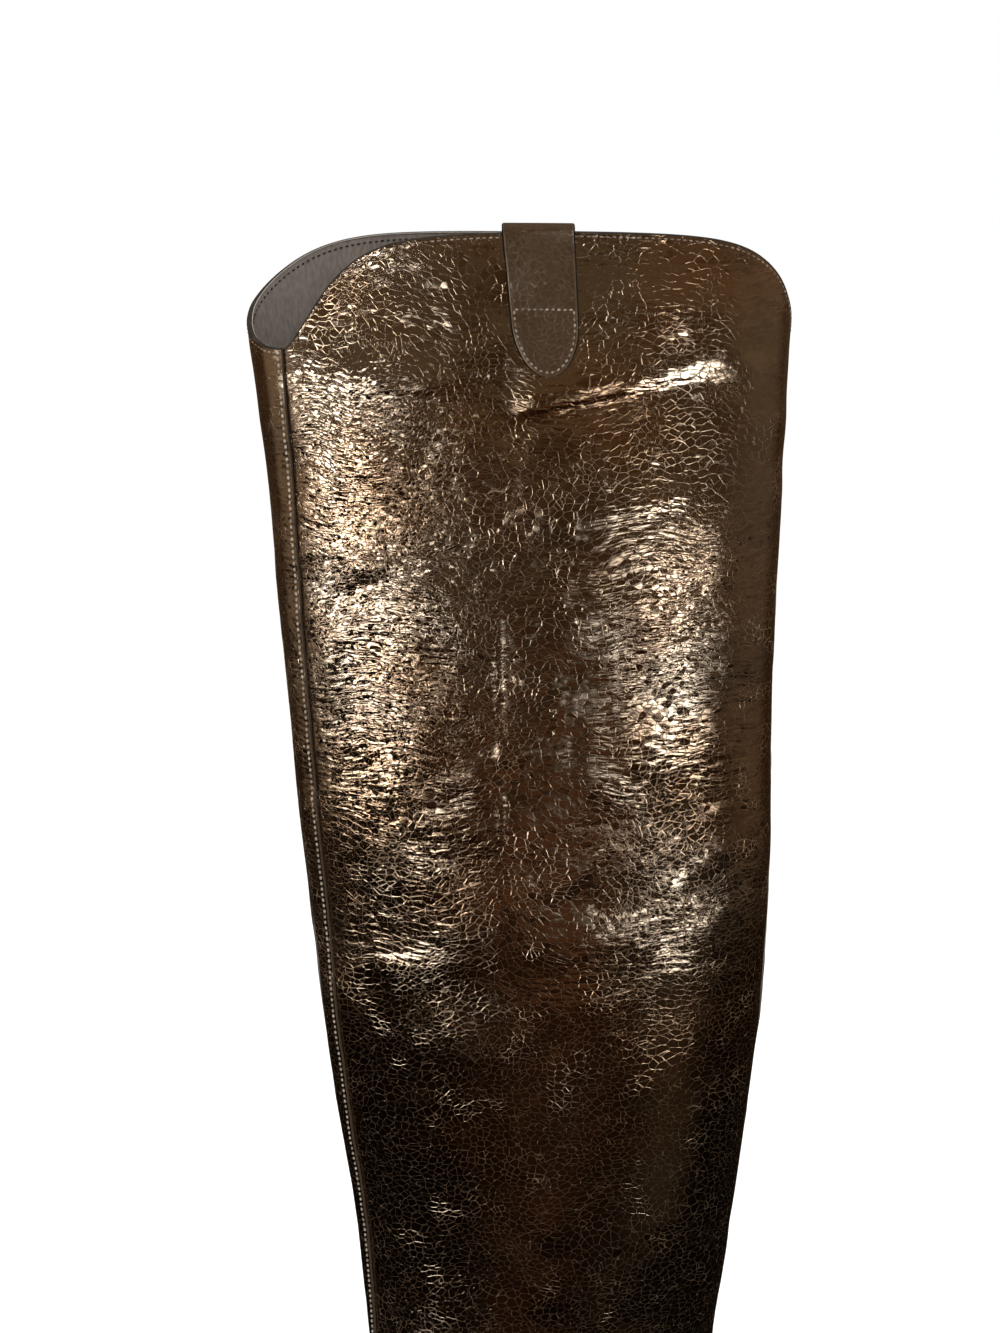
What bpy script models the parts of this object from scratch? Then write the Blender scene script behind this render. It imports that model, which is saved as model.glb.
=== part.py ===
"""Over-the-knee boot for the left foot, as separate solids that a boot maker would put together.

Run with blender --background --python part.py, or from the text editor. The tables are in millimetres
and the meshes in metres. Tables measure x forward from the back of the heel, y to the wearer's left,
which is the outer side of this boot, and z up from the floor. The finished boot is then moved so that
the origin is under the middle of its box.
"""

import math
from collections import namedtuple

import bmesh
import bpy
import numpy as np
from mathutils import Matrix, Vector

MM = 0.001

# Driving sizes of the boot
FOOT_LENGTH = 258.5  # plan length of the upper, heel back to toe tip
HEEL_HEIGHT = 54.0  # underside of the sole at the back of the heel
SEAT_SLOPE = 0.085  # fall of the heel seat per millimetre forward
SEAT_END = 62.0  # the seat is flat from the back to here
TREAD_START = 152.0  # the forefoot is flat on the floor from here
TREAD_END = 206.0  # to here
TOE_SPRING = 8.0  # lift of the sole under the toe tip
RIM_HEIGHT = 640.0  # top line of the shaft at the sides
RIM_BASE = 560.0  # below this the shaft's rings are level
SHAFT_TURN = 13.0  # degrees that the flattened shaft is turned from the foot's own line

# Thicknesses and gaps
WALL = 2.0  # leather and lining together
SOLE_THICKNESS = 4.0
SOLE_MARGIN = 1.6  # the sole shows this far outside the upper
INSOLE_THICKNESS = 2.0
INSOLE_INSET = WALL + 1.8
GAP = 0.3  # between pieces that meet
FACET_ALLOWANCE = 0.2  # more room over the sole, where flat facets of two meshes follow one curve

# Dip of the rim at the front and back seams, steep on the outer half and gentle on the inner half
Dip = namedtuple("Dip", "depth reach power")
DIPS = {"outer": Dip(38.0, 22.0, 1.5), "inner": Dip(38.0, 50.0, 2.2)}
SHOULDER_DEPTH = 4.0
SHOULDER_REACH = 60.0
BACK_SEAM_OFF = 17.0  # the back seam's top is this far to the outer side of the foot's line

# Lapped seams between the inner and the outer half of the upper
LAP_WIDTH = 8.0
LAP_STEP = 0.9
LAP_EDGE = 0.6
LAP_ENDS_AT_X = 246.0  # the lap runs out before the toe tip
LAP_FADE = 22.0

# Pull strap, folded over the rim at the middle of the outer side
STRAP_HALF_WIDTH = 13.0
STRAP_TAPER = 0.05  # share of the width lost at the start of the round end
STRAP_STRAIGHT = 31.0  # outer leg down to the start of its round end
STRAP_ROUND = 20.0  # length of the round end
STRAP_INNER_LEG = 38.0
STRAP_THICKNESS = 1.5
STRAP_LEAN = 0.06  # sideways run of the strap's centre line per millimetre down
STRAP_CLEAR = 0.5  # lift of the fold's centre over the rim

# Heel block and its rubber top piece
BREAST_X = 58.0  # front of the heel under the sole
HEEL_FOOT_BACK = 11.0  # back of the heel at the floor
HEEL_FOOT_FRONT = 51.0
HEEL_FOOT_NARROWS = 0.80  # width at the floor over width at the seat
HEEL_CURVE = 0.75  # under 1 draws the block in early, a hollow back line
TOP_PIECE = 6.0

# Detail of the meshes
RING_SAMPLES = 200  # points on a quarter of a ring before it is spaced out evenly
PANEL_STEPS = 17  # columns on each half of the upper
OUTLINE_STEPS = 44  # rows along the sole
SOLE_COLUMNS = 2
HEEL_RINGS = 7
HEEL_BACK_STEPS = 20
BREAST_STEPS = 4
STRAP_COLUMNS = 6
FOLD_STEPS = 8

# Half widths of the upper's bottom edge, either side of the foot's line
Outline = namedtuple("Outline", "x outer inner")
OUTLINE = (
    Outline(0.0, 0.0, 0.0),
    Outline(10.0, 21.5, 20.5),
    Outline(30.0, 28.5, 27.5),
    Outline(62.0, 28.5, 25.5),
    Outline(95.0, 29.5, 21.0),
    Outline(130.0, 35.5, 27.0),
    Outline(160.0, 40.0, 35.5),
    Outline(180.0, 40.0, 38.5),
    Outline(202.0, 35.5, 38.0),
    Outline(224.0, 26.0, 33.0),
    Outline(243.0, 14.0, 23.5),
    Outline(254.0, 4.5, 13.0),
    Outline(FOOT_LENGTH, -3.5, 3.5),
)

# One row for each section of the upper, from the rim down the shaft, round the heel and along the foot.
# front is the point on the shin, instep or vamp, back the point on the back line or the bottom edge.
# widest is where the section is widest, as a share of the way from back to front.
Section = namedtuple("Section", "name front_x front_z back_x back_z outer inner widest back_power front_power turn")
SECTIONS = (
    Section("rim", 201.8, RIM_HEIGHT, -7.6, RIM_HEIGHT, 33.0, 33.0, 0.50, 2.3, 2.3, 1.0),
    Section("thigh", 192.4, RIM_BASE, -4.8, RIM_BASE, 35.0, 35.0, 0.50, 2.3, 2.3, 1.0),
    Section("knee", 186.3, 470.0, -3.0, 470.0, 36.5, 36.5, 0.50, 2.3, 2.3, 1.0),
    Section("upper calf", 179.9, 390.0, -4.6, 390.0, 37.0, 37.0, 0.49, 2.3, 2.3, 1.0),
    Section("calf", 172.4, 320.0, -1.3, 320.0, 36.5, 36.5, 0.48, 2.3, 2.3, 0.95),
    Section("lower calf", 162.9, 250.0, 6.1, 250.0, 35.0, 35.0, 0.47, 2.3, 2.2, 0.85),
    Section("shin foot", 156.8, 195.0, 12.0, 195.0, 33.5, 33.5, 0.46, 2.3, 2.2, 0.55),
    Section("ankle", 153.4, 164.0, 12.5, 162.0, 33.0, 32.5, 0.45, 2.4, 2.1, 0.25),
    Section("low ankle", 154.0, 143.0, 7.5, 130.0, 33.0, 32.0, 0.42, 2.6, 2.1, 0.08),
    Section("heel curve", 158.0, 124.0, 1.0, 100.0, 33.0, 31.5, 0.38, 2.8, 2.1, 0.0),
    Section("heel bulge", 163.5, 109.5, -1.5, 77.0, 33.5, 31.5, 0.34, 2.9, 2.1, 0.0),
    Section("seat back", 168.5, 99.5, 0.0, None, 34.0, 31.5, 0.30, 2.9, 2.1, 0.0),
    Section("seat", 173.5, 91.5, 34.0, None, 35.0, 31.0, 0.27, 2.7, 2.1, 0.0),
    Section("waist", 180.0, 83.0, 82.0, None, 36.5, 30.5, 0.25, 2.5, 2.1, 0.0),
    Section("instep", 188.5, 73.5, 124.0, None, 38.5, 32.0, 0.24, 2.4, 2.1, 0.0),
    Section("ball", 201.0, 61.5, 166.0, None, 41.5, 38.5, 0.22, 2.4, 2.1, 0.0),
    Section("tread", 217.0, 49.0, 200.0, None, 37.0, 39.5, 0.24, 2.4, 2.1, 0.0),
    Section("toe box", 234.5, 37.5, 228.0, None, 24.5, 32.5, 0.30, 2.4, 2.1, 0.0),
    Section("toe", 248.5, 28.5, 246.0, None, 12.5, 22.0, 0.36, 2.4, 2.0, 0.0),
    Section("toe nose", 256.3, 20.0, 255.8, None, 2.6, 11.6, 0.42, 2.4, 2.0, 0.0),
    Section("toe tip", FOOT_LENGTH, 13.0, FOOT_LENGTH, None, -3.4, 3.6, 0.45, 2.4, 2.0, 0.0),
)
SEAT_ROW = 11  # from this row on, the section ends at the bottom edge

# Rows of the upper's mesh: rows above the rim base, then section numbers down to the toe
RIM_ROWS = 4
MESH_ROWS = (
    *(1.0, 2.0, 2.5, 3.0, 3.5, 4.0, 4.5, 5.0, 5.5, 6.0, 6.5, 7.0, 7.5, 8.0, 8.5, 9.0, 9.5, 10.0, 10.5),
    *(11.0, 11.2, 11.5, 11.8, 12.1, 12.4, 12.7, 13.0, 13.25, 13.5, 13.75, 14.0, 14.3, 14.6, 15.0, 15.5),
    *(16.0, 16.4, 16.8, 17.2, 17.6, 18.0, 18.4, 18.8, 19.2, 19.6, 19.85, 20.0),
)

LEATHER_COLOUR = (0.115, 0.078, 0.052, 1.0)
STRAP_COLOUR = (0.105, 0.072, 0.050, 1.0)
SOLE_COLOUR = (0.035, 0.028, 0.024, 1.0)
HEEL_COLOUR = (0.040, 0.030, 0.024, 1.0)
RUBBER_COLOUR = (0.018, 0.017, 0.016, 1.0)
INSOLE_COLOUR = (0.165, 0.145, 0.130, 1.0)


def smooth(rows, values, at):
    """Cubic curve through the values of a table's rows, with slopes taken from the neighbouring rows."""
    rows = np.asarray(rows, float)
    values = np.asarray(values, float)
    slopes = np.gradient(values, rows)
    left = np.clip(np.searchsorted(rows, at, side="right") - 1, 0, len(rows) - 2)
    span = rows[left + 1] - rows[left]
    t = (np.asarray(at, float) - rows[left]) / span
    start = (1 + 2 * t) * (1 - t) ** 2 * values[left] + t * (1 - t) ** 2 * span * slopes[left]
    end = t**2 * (3 - 2 * t) * values[left + 1] + t**2 * (t - 1) * span * slopes[left + 1]
    return start + end


def ease(t):
    """Smooth step from 0 to 1."""
    t = np.clip(t, 0.0, 1.0)
    return t * t * (3 - 2 * t)


def sole_bottom(x):
    """Underside of the sole: flat seat, arch, flat tread and toe spring."""
    x = np.asarray(x, float)
    seat = HEEL_HEIGHT - SEAT_SLOPE * x
    span = TREAD_START - SEAT_END
    t = np.clip((x - SEAT_END) / span, 0.0, 1.0)
    seat_end = HEEL_HEIGHT - SEAT_SLOPE * SEAT_END
    arch = (1 + 2 * t) * (1 - t) ** 2 * seat_end - t * (1 - t) ** 2 * span * SEAT_SLOPE
    toe = TOE_SPRING * np.clip((x - TREAD_END) / (FOOT_LENGTH - TREAD_END), 0.0, None) ** 2
    return np.where(x < SEAT_END, seat, arch) + toe


def bottom_edge(x):
    """Height of the upper's bottom edge, resting on the sole. A sloping sole is thicker straight up."""
    slope = sole_bottom(np.asarray(x, float) + 0.5) - sole_bottom(np.asarray(x, float) - 0.5)
    return sole_bottom(x) + (SOLE_THICKNESS + GAP) * np.sqrt(1 + slope**2) + FACET_ALLOWANCE


def around(x):
    """Angle that runs evenly round the two ends of the outline: 0 at the heel back, pi at the toe tip."""
    return np.arccos(np.clip(1 - 2 * np.asarray(x, float) / FOOT_LENGTH, -1.0, 1.0))


def edge_half_width(x, side):
    """Half width of the upper's bottom edge on the outer or the inner side."""
    angles = [around(row.x) for row in OUTLINE]
    return smooth(angles, [getattr(row, side) for row in OUTLINE], around(x))


def section_value(column, station):
    """A column of the section table at any row number, whole or not."""
    return float(smooth(range(len(SECTIONS)), [getattr(row, column) for row in SECTIONS], station))


def back_height(station):
    """Height of a section's back point, on the back line or on the bottom edge."""
    if station >= SEAT_ROW:
        return float(bottom_edge(section_value("back_x", station)))
    heights = [row.back_z for row in SECTIONS[:SEAT_ROW]] + [float(bottom_edge(0.0))]
    return float(smooth(range(SEAT_ROW + 1), heights, station))


def half_section(length, widest, half_width, edge_width, back_power, front_power):
    """Half a section as distances along it from the back and out from its line.

    Two quarters of a rounded box meet where the section is widest. The back quarter is cut short
    where it reaches the width of the bottom edge, and closes on the line where that width is nothing.
    """
    share = min(max(edge_width / half_width, 0.0), 0.98)
    reach = widest / (1 - share**back_power) ** (1 / back_power)
    first = math.asin(min((widest / reach) ** (back_power / 2), 1.0))
    back = np.linspace(first, 0.0, RING_SAMPLES)
    front = np.linspace(0.0, math.pi / 2, RING_SAMPLES)[1:]
    along = np.concatenate((
        widest - reach * np.sin(back) ** (2 / back_power),
        widest + (length - widest) * np.sin(front) ** (2 / front_power),
    ))
    out = half_width * np.concatenate((
        np.cos(back) ** (2 / back_power),
        np.maximum(np.cos(front), 0.0) ** (2 / front_power),
    ))
    return along, out


def panels(station):
    """The outer and the inner half of a section, each from the back seam or bottom edge to the front seam."""
    back_x = section_value("back_x", station)
    back = np.array([back_x, 0.0, back_height(station)])
    front = np.array([section_value("front_x", station), 0.0, section_value("front_z", station)])
    if station >= len(SECTIONS) - 1:
        tip = back + np.array([0.0, float(edge_half_width(back_x, "outer")), 0.0])
        return [np.repeat(tip[None], 2, axis=0)] * 2
    length = float(np.linalg.norm(front - back))
    middle = 0.0
    widths = {"outer": section_value("outer", station), "inner": section_value("inner", station)}
    edges = {"outer": 0.0, "inner": 0.0}
    if station > SEAT_ROW:
        edges = {side: float(edge_half_width(back_x, side)) for side in edges}
        # Near the toe tip the section's line moves to the inner side with the outline
        middle = min(0.0, (edges["outer"] - edges["inner"]) / 2) * float(ease((back_x - 200.0) / 50.0))
    loop = []
    for side, sign in (("outer", 1.0), ("inner", -1.0)):
        width = max(widths[side] - sign * middle, 0.02)
        edge = max(edges[side] - sign * middle, 0.0)
        along, out = half_section(
            length,
            section_value("widest", station) * length,
            width,
            edge,
            section_value("back_power", station),
            section_value("front_power", station),
        )
        loop.append(np.stack((along, middle + sign * out), axis=1))
    outer, inner = loop
    if station < SEAT_ROW:
        outer, inner = turned(outer, inner, length, section_value("turn", station))
    direction = (front - back) / length
    return [back + flat[:, :1] * direction + flat[:, 1:] * np.array([0.0, 1.0, 0.0]) for flat in (outer, inner)]


def turned(outer, inner, length, share):
    """A closed section turned in its plane, and split again at the front and back seams.

    The front seam is on the boot's middle plane. The back seam leaves it towards the top.
    """
    angle = math.radians(SHAFT_TURN) * share
    ring = np.concatenate((outer, inner[-2:0:-1]))
    from_middle = ring - np.array([length / 2, 0.0])
    cosine = math.cos(angle)
    sine = math.sin(angle)
    ring = np.stack((
        length / 2 + from_middle[:, 0] * cosine + from_middle[:, 1] * sine,
        from_middle[:, 1] * cosine - from_middle[:, 0] * sine,
    ), axis=1)
    behind = ring[:, 0] < length / 4
    start = int(np.argmin(np.where(behind, np.abs(ring[:, 1] - BACK_SEAM_OFF * share), 1e9)))
    ring = np.roll(ring, -start, axis=0)
    ring = np.concatenate((ring, ring[:1]))
    ahead = ring[:, 0] > length * 3 / 4
    seam = int(np.argmin(np.where(ahead, np.abs(ring[:, 1]), 1e9)))
    return ring[: seam + 1], ring[: seam - 1 : -1]


def arc_lengths(points):
    return np.concatenate(([0.0], np.cumsum(np.linalg.norm(np.diff(points, axis=0), axis=1))))


def spaced(points, distances):
    """Points at these distances along a line of points."""
    run = arc_lengths(points)
    return np.stack([np.interp(distances, run, points[:, axis]) for axis in range(3)], axis=1)


def column_distances(length):
    """Distances from the back seam to the mesh columns of one half, with two columns at each lap's edge."""
    lap = min(LAP_WIDTH, 0.22 * length)
    edge = min(LAP_EDGE, 0.02 * length)
    near = np.array([0.0, edge, lap, lap + edge])
    between = np.linspace(near[-1], length - near[-1], PANEL_STEPS)[1:-1]
    return np.concatenate((near, between, length - near[::-1]))


def rim_drop(distance, side):
    """Fall of the rim at a distance from a seam: a dip with broad shoulders."""
    dip = DIPS[side].depth * np.exp(-((distance / DIPS[side].reach) ** DIPS[side].power))
    return dip + SHOULDER_DEPTH * np.exp(-((distance / SHOULDER_REACH) ** 2))


def ring_columns(station):
    """One row of the upper's mesh, the outer half from back to front and the inner half from front to back.

    With each point comes the fall of the rim at its distance from the nearest seam.
    """
    points = []
    falls = []
    for half, side in zip(panels(station), ("outer", "inner")):
        run = column_distances(arc_lengths(half)[-1])
        points.append(spaced(half, run))
        falls.append(rim_drop(np.minimum(run, run[-1] - run), side))
    return np.concatenate((points[0], points[1][-2::-1])), np.concatenate((falls[0], falls[1][-2::-1]))


def upper_rows():
    """Rows of the upper's outside, from the rim to the toe tip."""
    top, fall = ring_columns(0.0)
    base, _ = ring_columns(1.0)
    rise = 1 - fall / (RIM_HEIGHT - RIM_BASE)
    rows = [base + (top - base) * (rise * share)[:, None] for share in np.linspace(1.0, 0.0, RIM_ROWS + 1)[:-1]]
    rows += [ring_columns(station)[0] for station in MESH_ROWS]
    return np.array(rows)


def in_metres(point):
    return Vector(np.asarray(point, float) * MM)


def mesh_object(name, build, colour, roughness, metallic, collection):
    """A named object from a function that fills a bmesh, with its own material."""
    shape = bmesh.new()
    build(shape)
    mesh = bpy.data.meshes.new(name)
    shape.to_mesh(mesh)
    shape.free()
    mesh.shade_smooth()
    mesh.set_sharp_from_angle(angle=math.radians(40))
    part = bpy.data.objects.new(name, mesh)
    collection.objects.link(part)
    material = bpy.data.materials.new(name)
    material.use_nodes = True
    surface = material.node_tree.nodes["Principled BSDF"]
    surface.inputs["Base Color"].default_value = colour
    surface.inputs["Roughness"].default_value = roughness
    surface.inputs["Metallic"].default_value = metallic
    mesh.materials.append(material)
    return part


def add_grid(shape, rows, flip=False):
    """Quads between rows of points. Points that coincide, as at a tip or a closed seam, are merged."""
    grid = [[shape.verts.new(in_metres(point)) for point in row] for row in rows]
    for upper_row, lower_row in zip(grid, grid[1:]):
        for k in range(len(upper_row) - 1):
            corners = (upper_row[k], lower_row[k], lower_row[k + 1], upper_row[k + 1])
            shape.faces.new(corners[::-1] if flip else corners)
    bmesh.ops.remove_doubles(shape, verts=shape.verts, dist=2e-6)
    bmesh.ops.dissolve_degenerate(shape, edges=shape.edges, dist=1e-6)


def thicken(part, thickness, outward):
    """Solidify to one side of an open surface: 1 grows along its normals and -1 against them."""
    solid = part.modifiers.new("thickness", "SOLIDIFY")
    solid.thickness = thickness * MM
    solid.offset = outward
    solid.use_even_offset = True
    return solid


def build_upper(collection):
    """The two halves as one hollow wall, open at the rim and underneath, with lapped seams."""
    rows = upper_rows()
    part = mesh_object("upper", lambda shape: add_grid(shape, rows, flip=True), LEATHER_COLOUR, 0.32, 0.9, collection)
    thicken(part, WALL, -1.0)
    graph = bpy.context.evaluated_depsgraph_get()
    mesh = bpy.data.meshes.new_from_object(part.evaluated_get(graph))
    part.modifiers.clear()
    part.data = mesh
    raise_laps(mesh, rows)
    trim_to_sole(mesh)
    return part


def raise_laps(mesh, rows):
    """Steps the inner half's edge over the outer half along both seams, on the outside only."""
    first_inner = rows.shape[1] // 2 + 1
    columns = (first_inner, first_inner + 1, rows.shape[1] - 3, rows.shape[1] - 2)
    strip = rows[:, columns].reshape(-1, 3)
    forward = strip[:, 0]
    fade = ease((LAP_ENDS_AT_X - forward) / LAP_FADE)
    for vertex in mesh.vertices:
        distance = np.linalg.norm(strip * MM - np.array(vertex.co), axis=1)
        nearest = int(np.argmin(distance))
        if distance[nearest] < 2e-6:
            vertex.co += vertex.normal * float(LAP_STEP * fade[nearest] * MM)


def trim_to_sole(mesh):
    """Lifts what the thickness brought under the bottom edge, so that the wall stands on the sole."""
    for vertex in mesh.vertices:
        lowest = float(bottom_edge(vertex.co.x / MM)) * MM
        vertex.co.z = max(vertex.co.z, lowest)


def outline_rows(margin):
    """Outer and inner edge of the sole's outline, moved out by a margin, in rows from heel back to toe tip."""
    angle = np.linspace(0.0, math.pi, OUTLINE_STEPS + 1)
    x = FOOT_LENGTH / 2 * (1 - np.cos(angle))
    loop = np.concatenate((
        np.stack((x, edge_half_width(x, "outer")), axis=1),
        np.stack((x, -edge_half_width(x, "inner")), axis=1)[-2:0:-1],
    ))
    along = np.roll(loop, -1, axis=0) - np.roll(loop, 1, axis=0)
    normal = np.stack((-along[:, 1], along[:, 0]), axis=1)
    normal /= np.linalg.norm(normal, axis=1)[:, None]
    loop = loop + normal * margin
    outer = loop[: OUTLINE_STEPS + 1]
    inner = np.concatenate((loop[:1], loop[: OUTLINE_STEPS - 1 : -1]))
    return outer, inner


def plan_grid(margin, height):
    """Rows across the sole from the outer to the inner edge, at a height that follows the sole's profile."""
    outer, inner = outline_rows(margin)
    across = np.linspace(0.0, 1.0, SOLE_COLUMNS + 1)[:, None]
    rows = []
    for outer_edge, inner_edge in zip(outer, inner):
        flat = outer_edge + (inner_edge - outer_edge) * across
        rows.append(np.column_stack((flat, height(flat[:, 0]))))
    return rows


def build_outsole(collection):
    rows = plan_grid(SOLE_MARGIN, sole_bottom)
    part = mesh_object("outsole", lambda shape: add_grid(shape, rows, flip=True), SOLE_COLOUR, 0.55, 0.0, collection)
    thicken(part, SOLE_THICKNESS, 1.0)
    return part


def build_insole(collection):
    rows = plan_grid(-INSOLE_INSET, bottom_edge)
    part = mesh_object("insole", lambda shape: add_grid(shape, rows, flip=True), INSOLE_COLOUR, 0.7, 0.0, collection)
    thicken(part, INSOLE_THICKNESS, 1.0)
    return part


def heel_outline():
    """The heel's plan under the sole: round back, then the breast, as one closed loop."""
    outer, inner = outline_rows(0.0)
    back = np.concatenate((inner[::-1], outer[1:]))
    back = back[back[:, 0] < BREAST_X]
    run = np.concatenate(([0.0], np.cumsum(np.linalg.norm(np.diff(back, axis=0), axis=1))))
    at = np.linspace(0.0, run[-1], HEEL_BACK_STEPS + 1)
    back = np.stack([np.interp(at, run, back[:, axis]) for axis in range(2)], axis=1)
    breast = np.linspace(back[-1], back[0], BREAST_STEPS + 1)[1:-1]
    return np.concatenate((back, breast))


def heel_ring(share):
    """The heel's outline part of the way down, from the sole to the top piece."""
    top = heel_outline()
    stretch = (HEEL_FOOT_FRONT - HEEL_FOOT_BACK) / (top[:, 0].max() - top[:, 0].min())
    foot = np.stack((
        HEEL_FOOT_BACK + (top[:, 0] - top[:, 0].min()) * stretch,
        top[:, 1] * HEEL_FOOT_NARROWS,
    ), axis=1)
    return top + (foot - top) * share**HEEL_CURVE


def loft(shape, rings):
    """A closed solid through rings of equal count, capped at both ends."""
    loops = [[shape.verts.new(in_metres(point)) for point in ring] for ring in rings]
    for upper_loop, lower_loop in zip(loops, loops[1:]):
        for k in range(len(upper_loop)):
            following = (k + 1) % len(upper_loop)
            shape.faces.new((upper_loop[k], upper_loop[following], lower_loop[following], lower_loop[k]))
    shape.faces.new(loops[0][::-1])
    shape.faces.new(loops[-1])
    bmesh.ops.recalc_face_normals(shape, faces=shape.faces)


def build_heel(collection):
    """Stacked block between the seat and the top piece."""
    rings = []
    for share in np.linspace(0.0, 1.0, HEEL_RINGS):
        flat = heel_ring(share)
        under_sole = HEEL_HEIGHT - SEAT_SLOPE * heel_ring(0.0)[:, 0] - GAP
        height = under_sole + (TOP_PIECE + GAP - under_sole) * share
        rings.append(np.column_stack((flat, height)))
    return mesh_object("heel_block", lambda shape: loft(shape, rings), HEEL_COLOUR, 0.45, 0.0, collection)


def build_top_piece(collection):
    flat = heel_ring(1.0)
    rings = [np.column_stack((flat, np.full(len(flat), height))) for height in (TOP_PIECE, 0.0)]
    return mesh_object("heel_top_piece", lambda shape: loft(shape, rings), RUBBER_COLOUR, 0.7, 0.0, collection)


def strap_path():
    """Centre line of the strap's inside: heights under the rim, lift, and distance out of the upper's surface."""
    path = []
    for fall in np.linspace(STRAP_STRAIGHT + STRAP_ROUND, STRAP_STRAIGHT, 9)[:-1]:
        path.append((fall, 0.0, GAP))
    for fall in np.linspace(STRAP_STRAIGHT, 0.0, 6):
        path.append((fall, 0.0, GAP))
    radius = WALL / 2 + GAP
    for turn in np.linspace(0.0, math.pi, FOLD_STEPS + 1):
        path.append((0.0, STRAP_CLEAR + radius * math.sin(turn), -WALL / 2 + radius * math.cos(turn)))
    for fall in np.linspace(0.0, STRAP_INNER_LEG, 6):
        path.append((fall, 0.0, -WALL - GAP))
    return path


def strap_half_width(fall, outside):
    """Half width of the strap: nearly parallel sides, and a round lower end on the outer leg."""
    if not outside:
        return STRAP_HALF_WIDTH
    straight = STRAP_HALF_WIDTH * (1 - STRAP_TAPER * min(fall / STRAP_STRAIGHT, 1.0))
    into_round = min(max((fall - STRAP_STRAIGHT) / STRAP_ROUND, 0.0), 1.0)
    return straight * math.sqrt(1 - into_round**2)


def strap_rows():
    """Rows across the strap, laid on the upper's own rings at the middle of the outer side."""
    rings = [panels(station)[0] for station in (0.0, 1.0)]
    runs = [arc_lengths(ring) for ring in rings]
    middle_x = (SECTIONS[0].front_x + SECTIONS[0].back_x) / 2
    centre = float(np.interp(middle_x, rings[0][:, 0], runs[0])) / runs[0][-1]
    across = np.linspace(-1.0, 1.0, STRAP_COLUMNS + 1)
    rows = []
    for fall, lift, out in strap_path():
        half = strap_half_width(fall, out > 0)
        sideways = across * half - STRAP_LEAN * fall
        down = fall / (RIM_HEIGHT - RIM_BASE)
        on_rings = [spaced(ring, centre * run[-1] + sideways) for ring, run in zip(rings, runs)]
        ahead = [spaced(ring, centre * run[-1] + sideways + 1.0) for ring, run in zip(rings, runs)]
        points = on_rings[0] + (on_rings[1] - on_rings[0]) * down
        tangent = ahead[0] - on_rings[0]
        normal = np.column_stack((-tangent[:, 1], tangent[:, 0], np.zeros(len(tangent))))
        normal /= np.linalg.norm(normal, axis=1)[:, None]
        drop = rim_drop(centre * runs[0][-1] + sideways, "outer")
        points = points + normal * out
        points[:, 2] += lift - drop
        rows.append(points)
    return rows


def build_strap(collection):
    rows = strap_rows()
    part = mesh_object("pull_strap", lambda shape: add_grid(shape, rows), STRAP_COLOUR, 0.4, 0.8, collection)
    thicken(part, STRAP_THICKNESS, 1.0)
    return part


def centre_over_origin(parts):
    """Moves all pieces together, so that the origin is on the floor under the middle of their box."""
    graph = bpy.context.evaluated_depsgraph_get()
    corners = np.array([corner for part in parts for corner in part.evaluated_get(graph).bound_box])
    middle = (corners.min(axis=0) + corners.max(axis=0)) / 2
    for part in parts:
        part.data.transform(Matrix.Translation((-middle[0], -middle[1], 0.0)))


def main():
    for leftover in list(bpy.data.objects):
        bpy.data.objects.remove(leftover)
    collection = bpy.data.collections.new("over_the_knee_boot")
    bpy.context.scene.collection.children.link(collection)
    parts = [
        build_upper(collection),
        build_outsole(collection),
        build_insole(collection),
        build_heel(collection),
        build_top_piece(collection),
        build_strap(collection),
    ]
    centre_over_origin(parts)


main()
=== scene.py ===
import math
from itertools import product

import bmesh
import bpy
import numpy as np
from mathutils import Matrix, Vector


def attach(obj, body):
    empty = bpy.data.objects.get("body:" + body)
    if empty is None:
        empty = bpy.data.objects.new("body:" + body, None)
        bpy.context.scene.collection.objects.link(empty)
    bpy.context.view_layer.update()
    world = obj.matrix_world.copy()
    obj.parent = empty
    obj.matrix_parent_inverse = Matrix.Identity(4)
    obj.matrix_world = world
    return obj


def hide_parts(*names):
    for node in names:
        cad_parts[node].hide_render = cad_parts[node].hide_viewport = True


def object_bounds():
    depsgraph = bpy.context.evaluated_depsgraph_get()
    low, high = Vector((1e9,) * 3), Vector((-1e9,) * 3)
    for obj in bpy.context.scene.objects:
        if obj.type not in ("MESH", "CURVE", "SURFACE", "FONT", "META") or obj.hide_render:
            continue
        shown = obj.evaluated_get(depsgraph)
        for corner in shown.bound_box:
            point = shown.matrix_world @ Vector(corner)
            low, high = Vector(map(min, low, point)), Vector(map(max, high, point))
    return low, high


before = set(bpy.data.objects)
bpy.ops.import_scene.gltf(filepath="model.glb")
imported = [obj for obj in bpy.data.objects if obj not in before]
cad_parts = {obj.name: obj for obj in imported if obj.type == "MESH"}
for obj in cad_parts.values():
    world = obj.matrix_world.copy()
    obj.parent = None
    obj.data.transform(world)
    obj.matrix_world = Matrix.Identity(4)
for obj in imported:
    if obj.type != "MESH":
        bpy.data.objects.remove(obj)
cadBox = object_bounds()
mm = 0.001
print("frame loaded:", ", ".join(sorted(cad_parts)))

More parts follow.
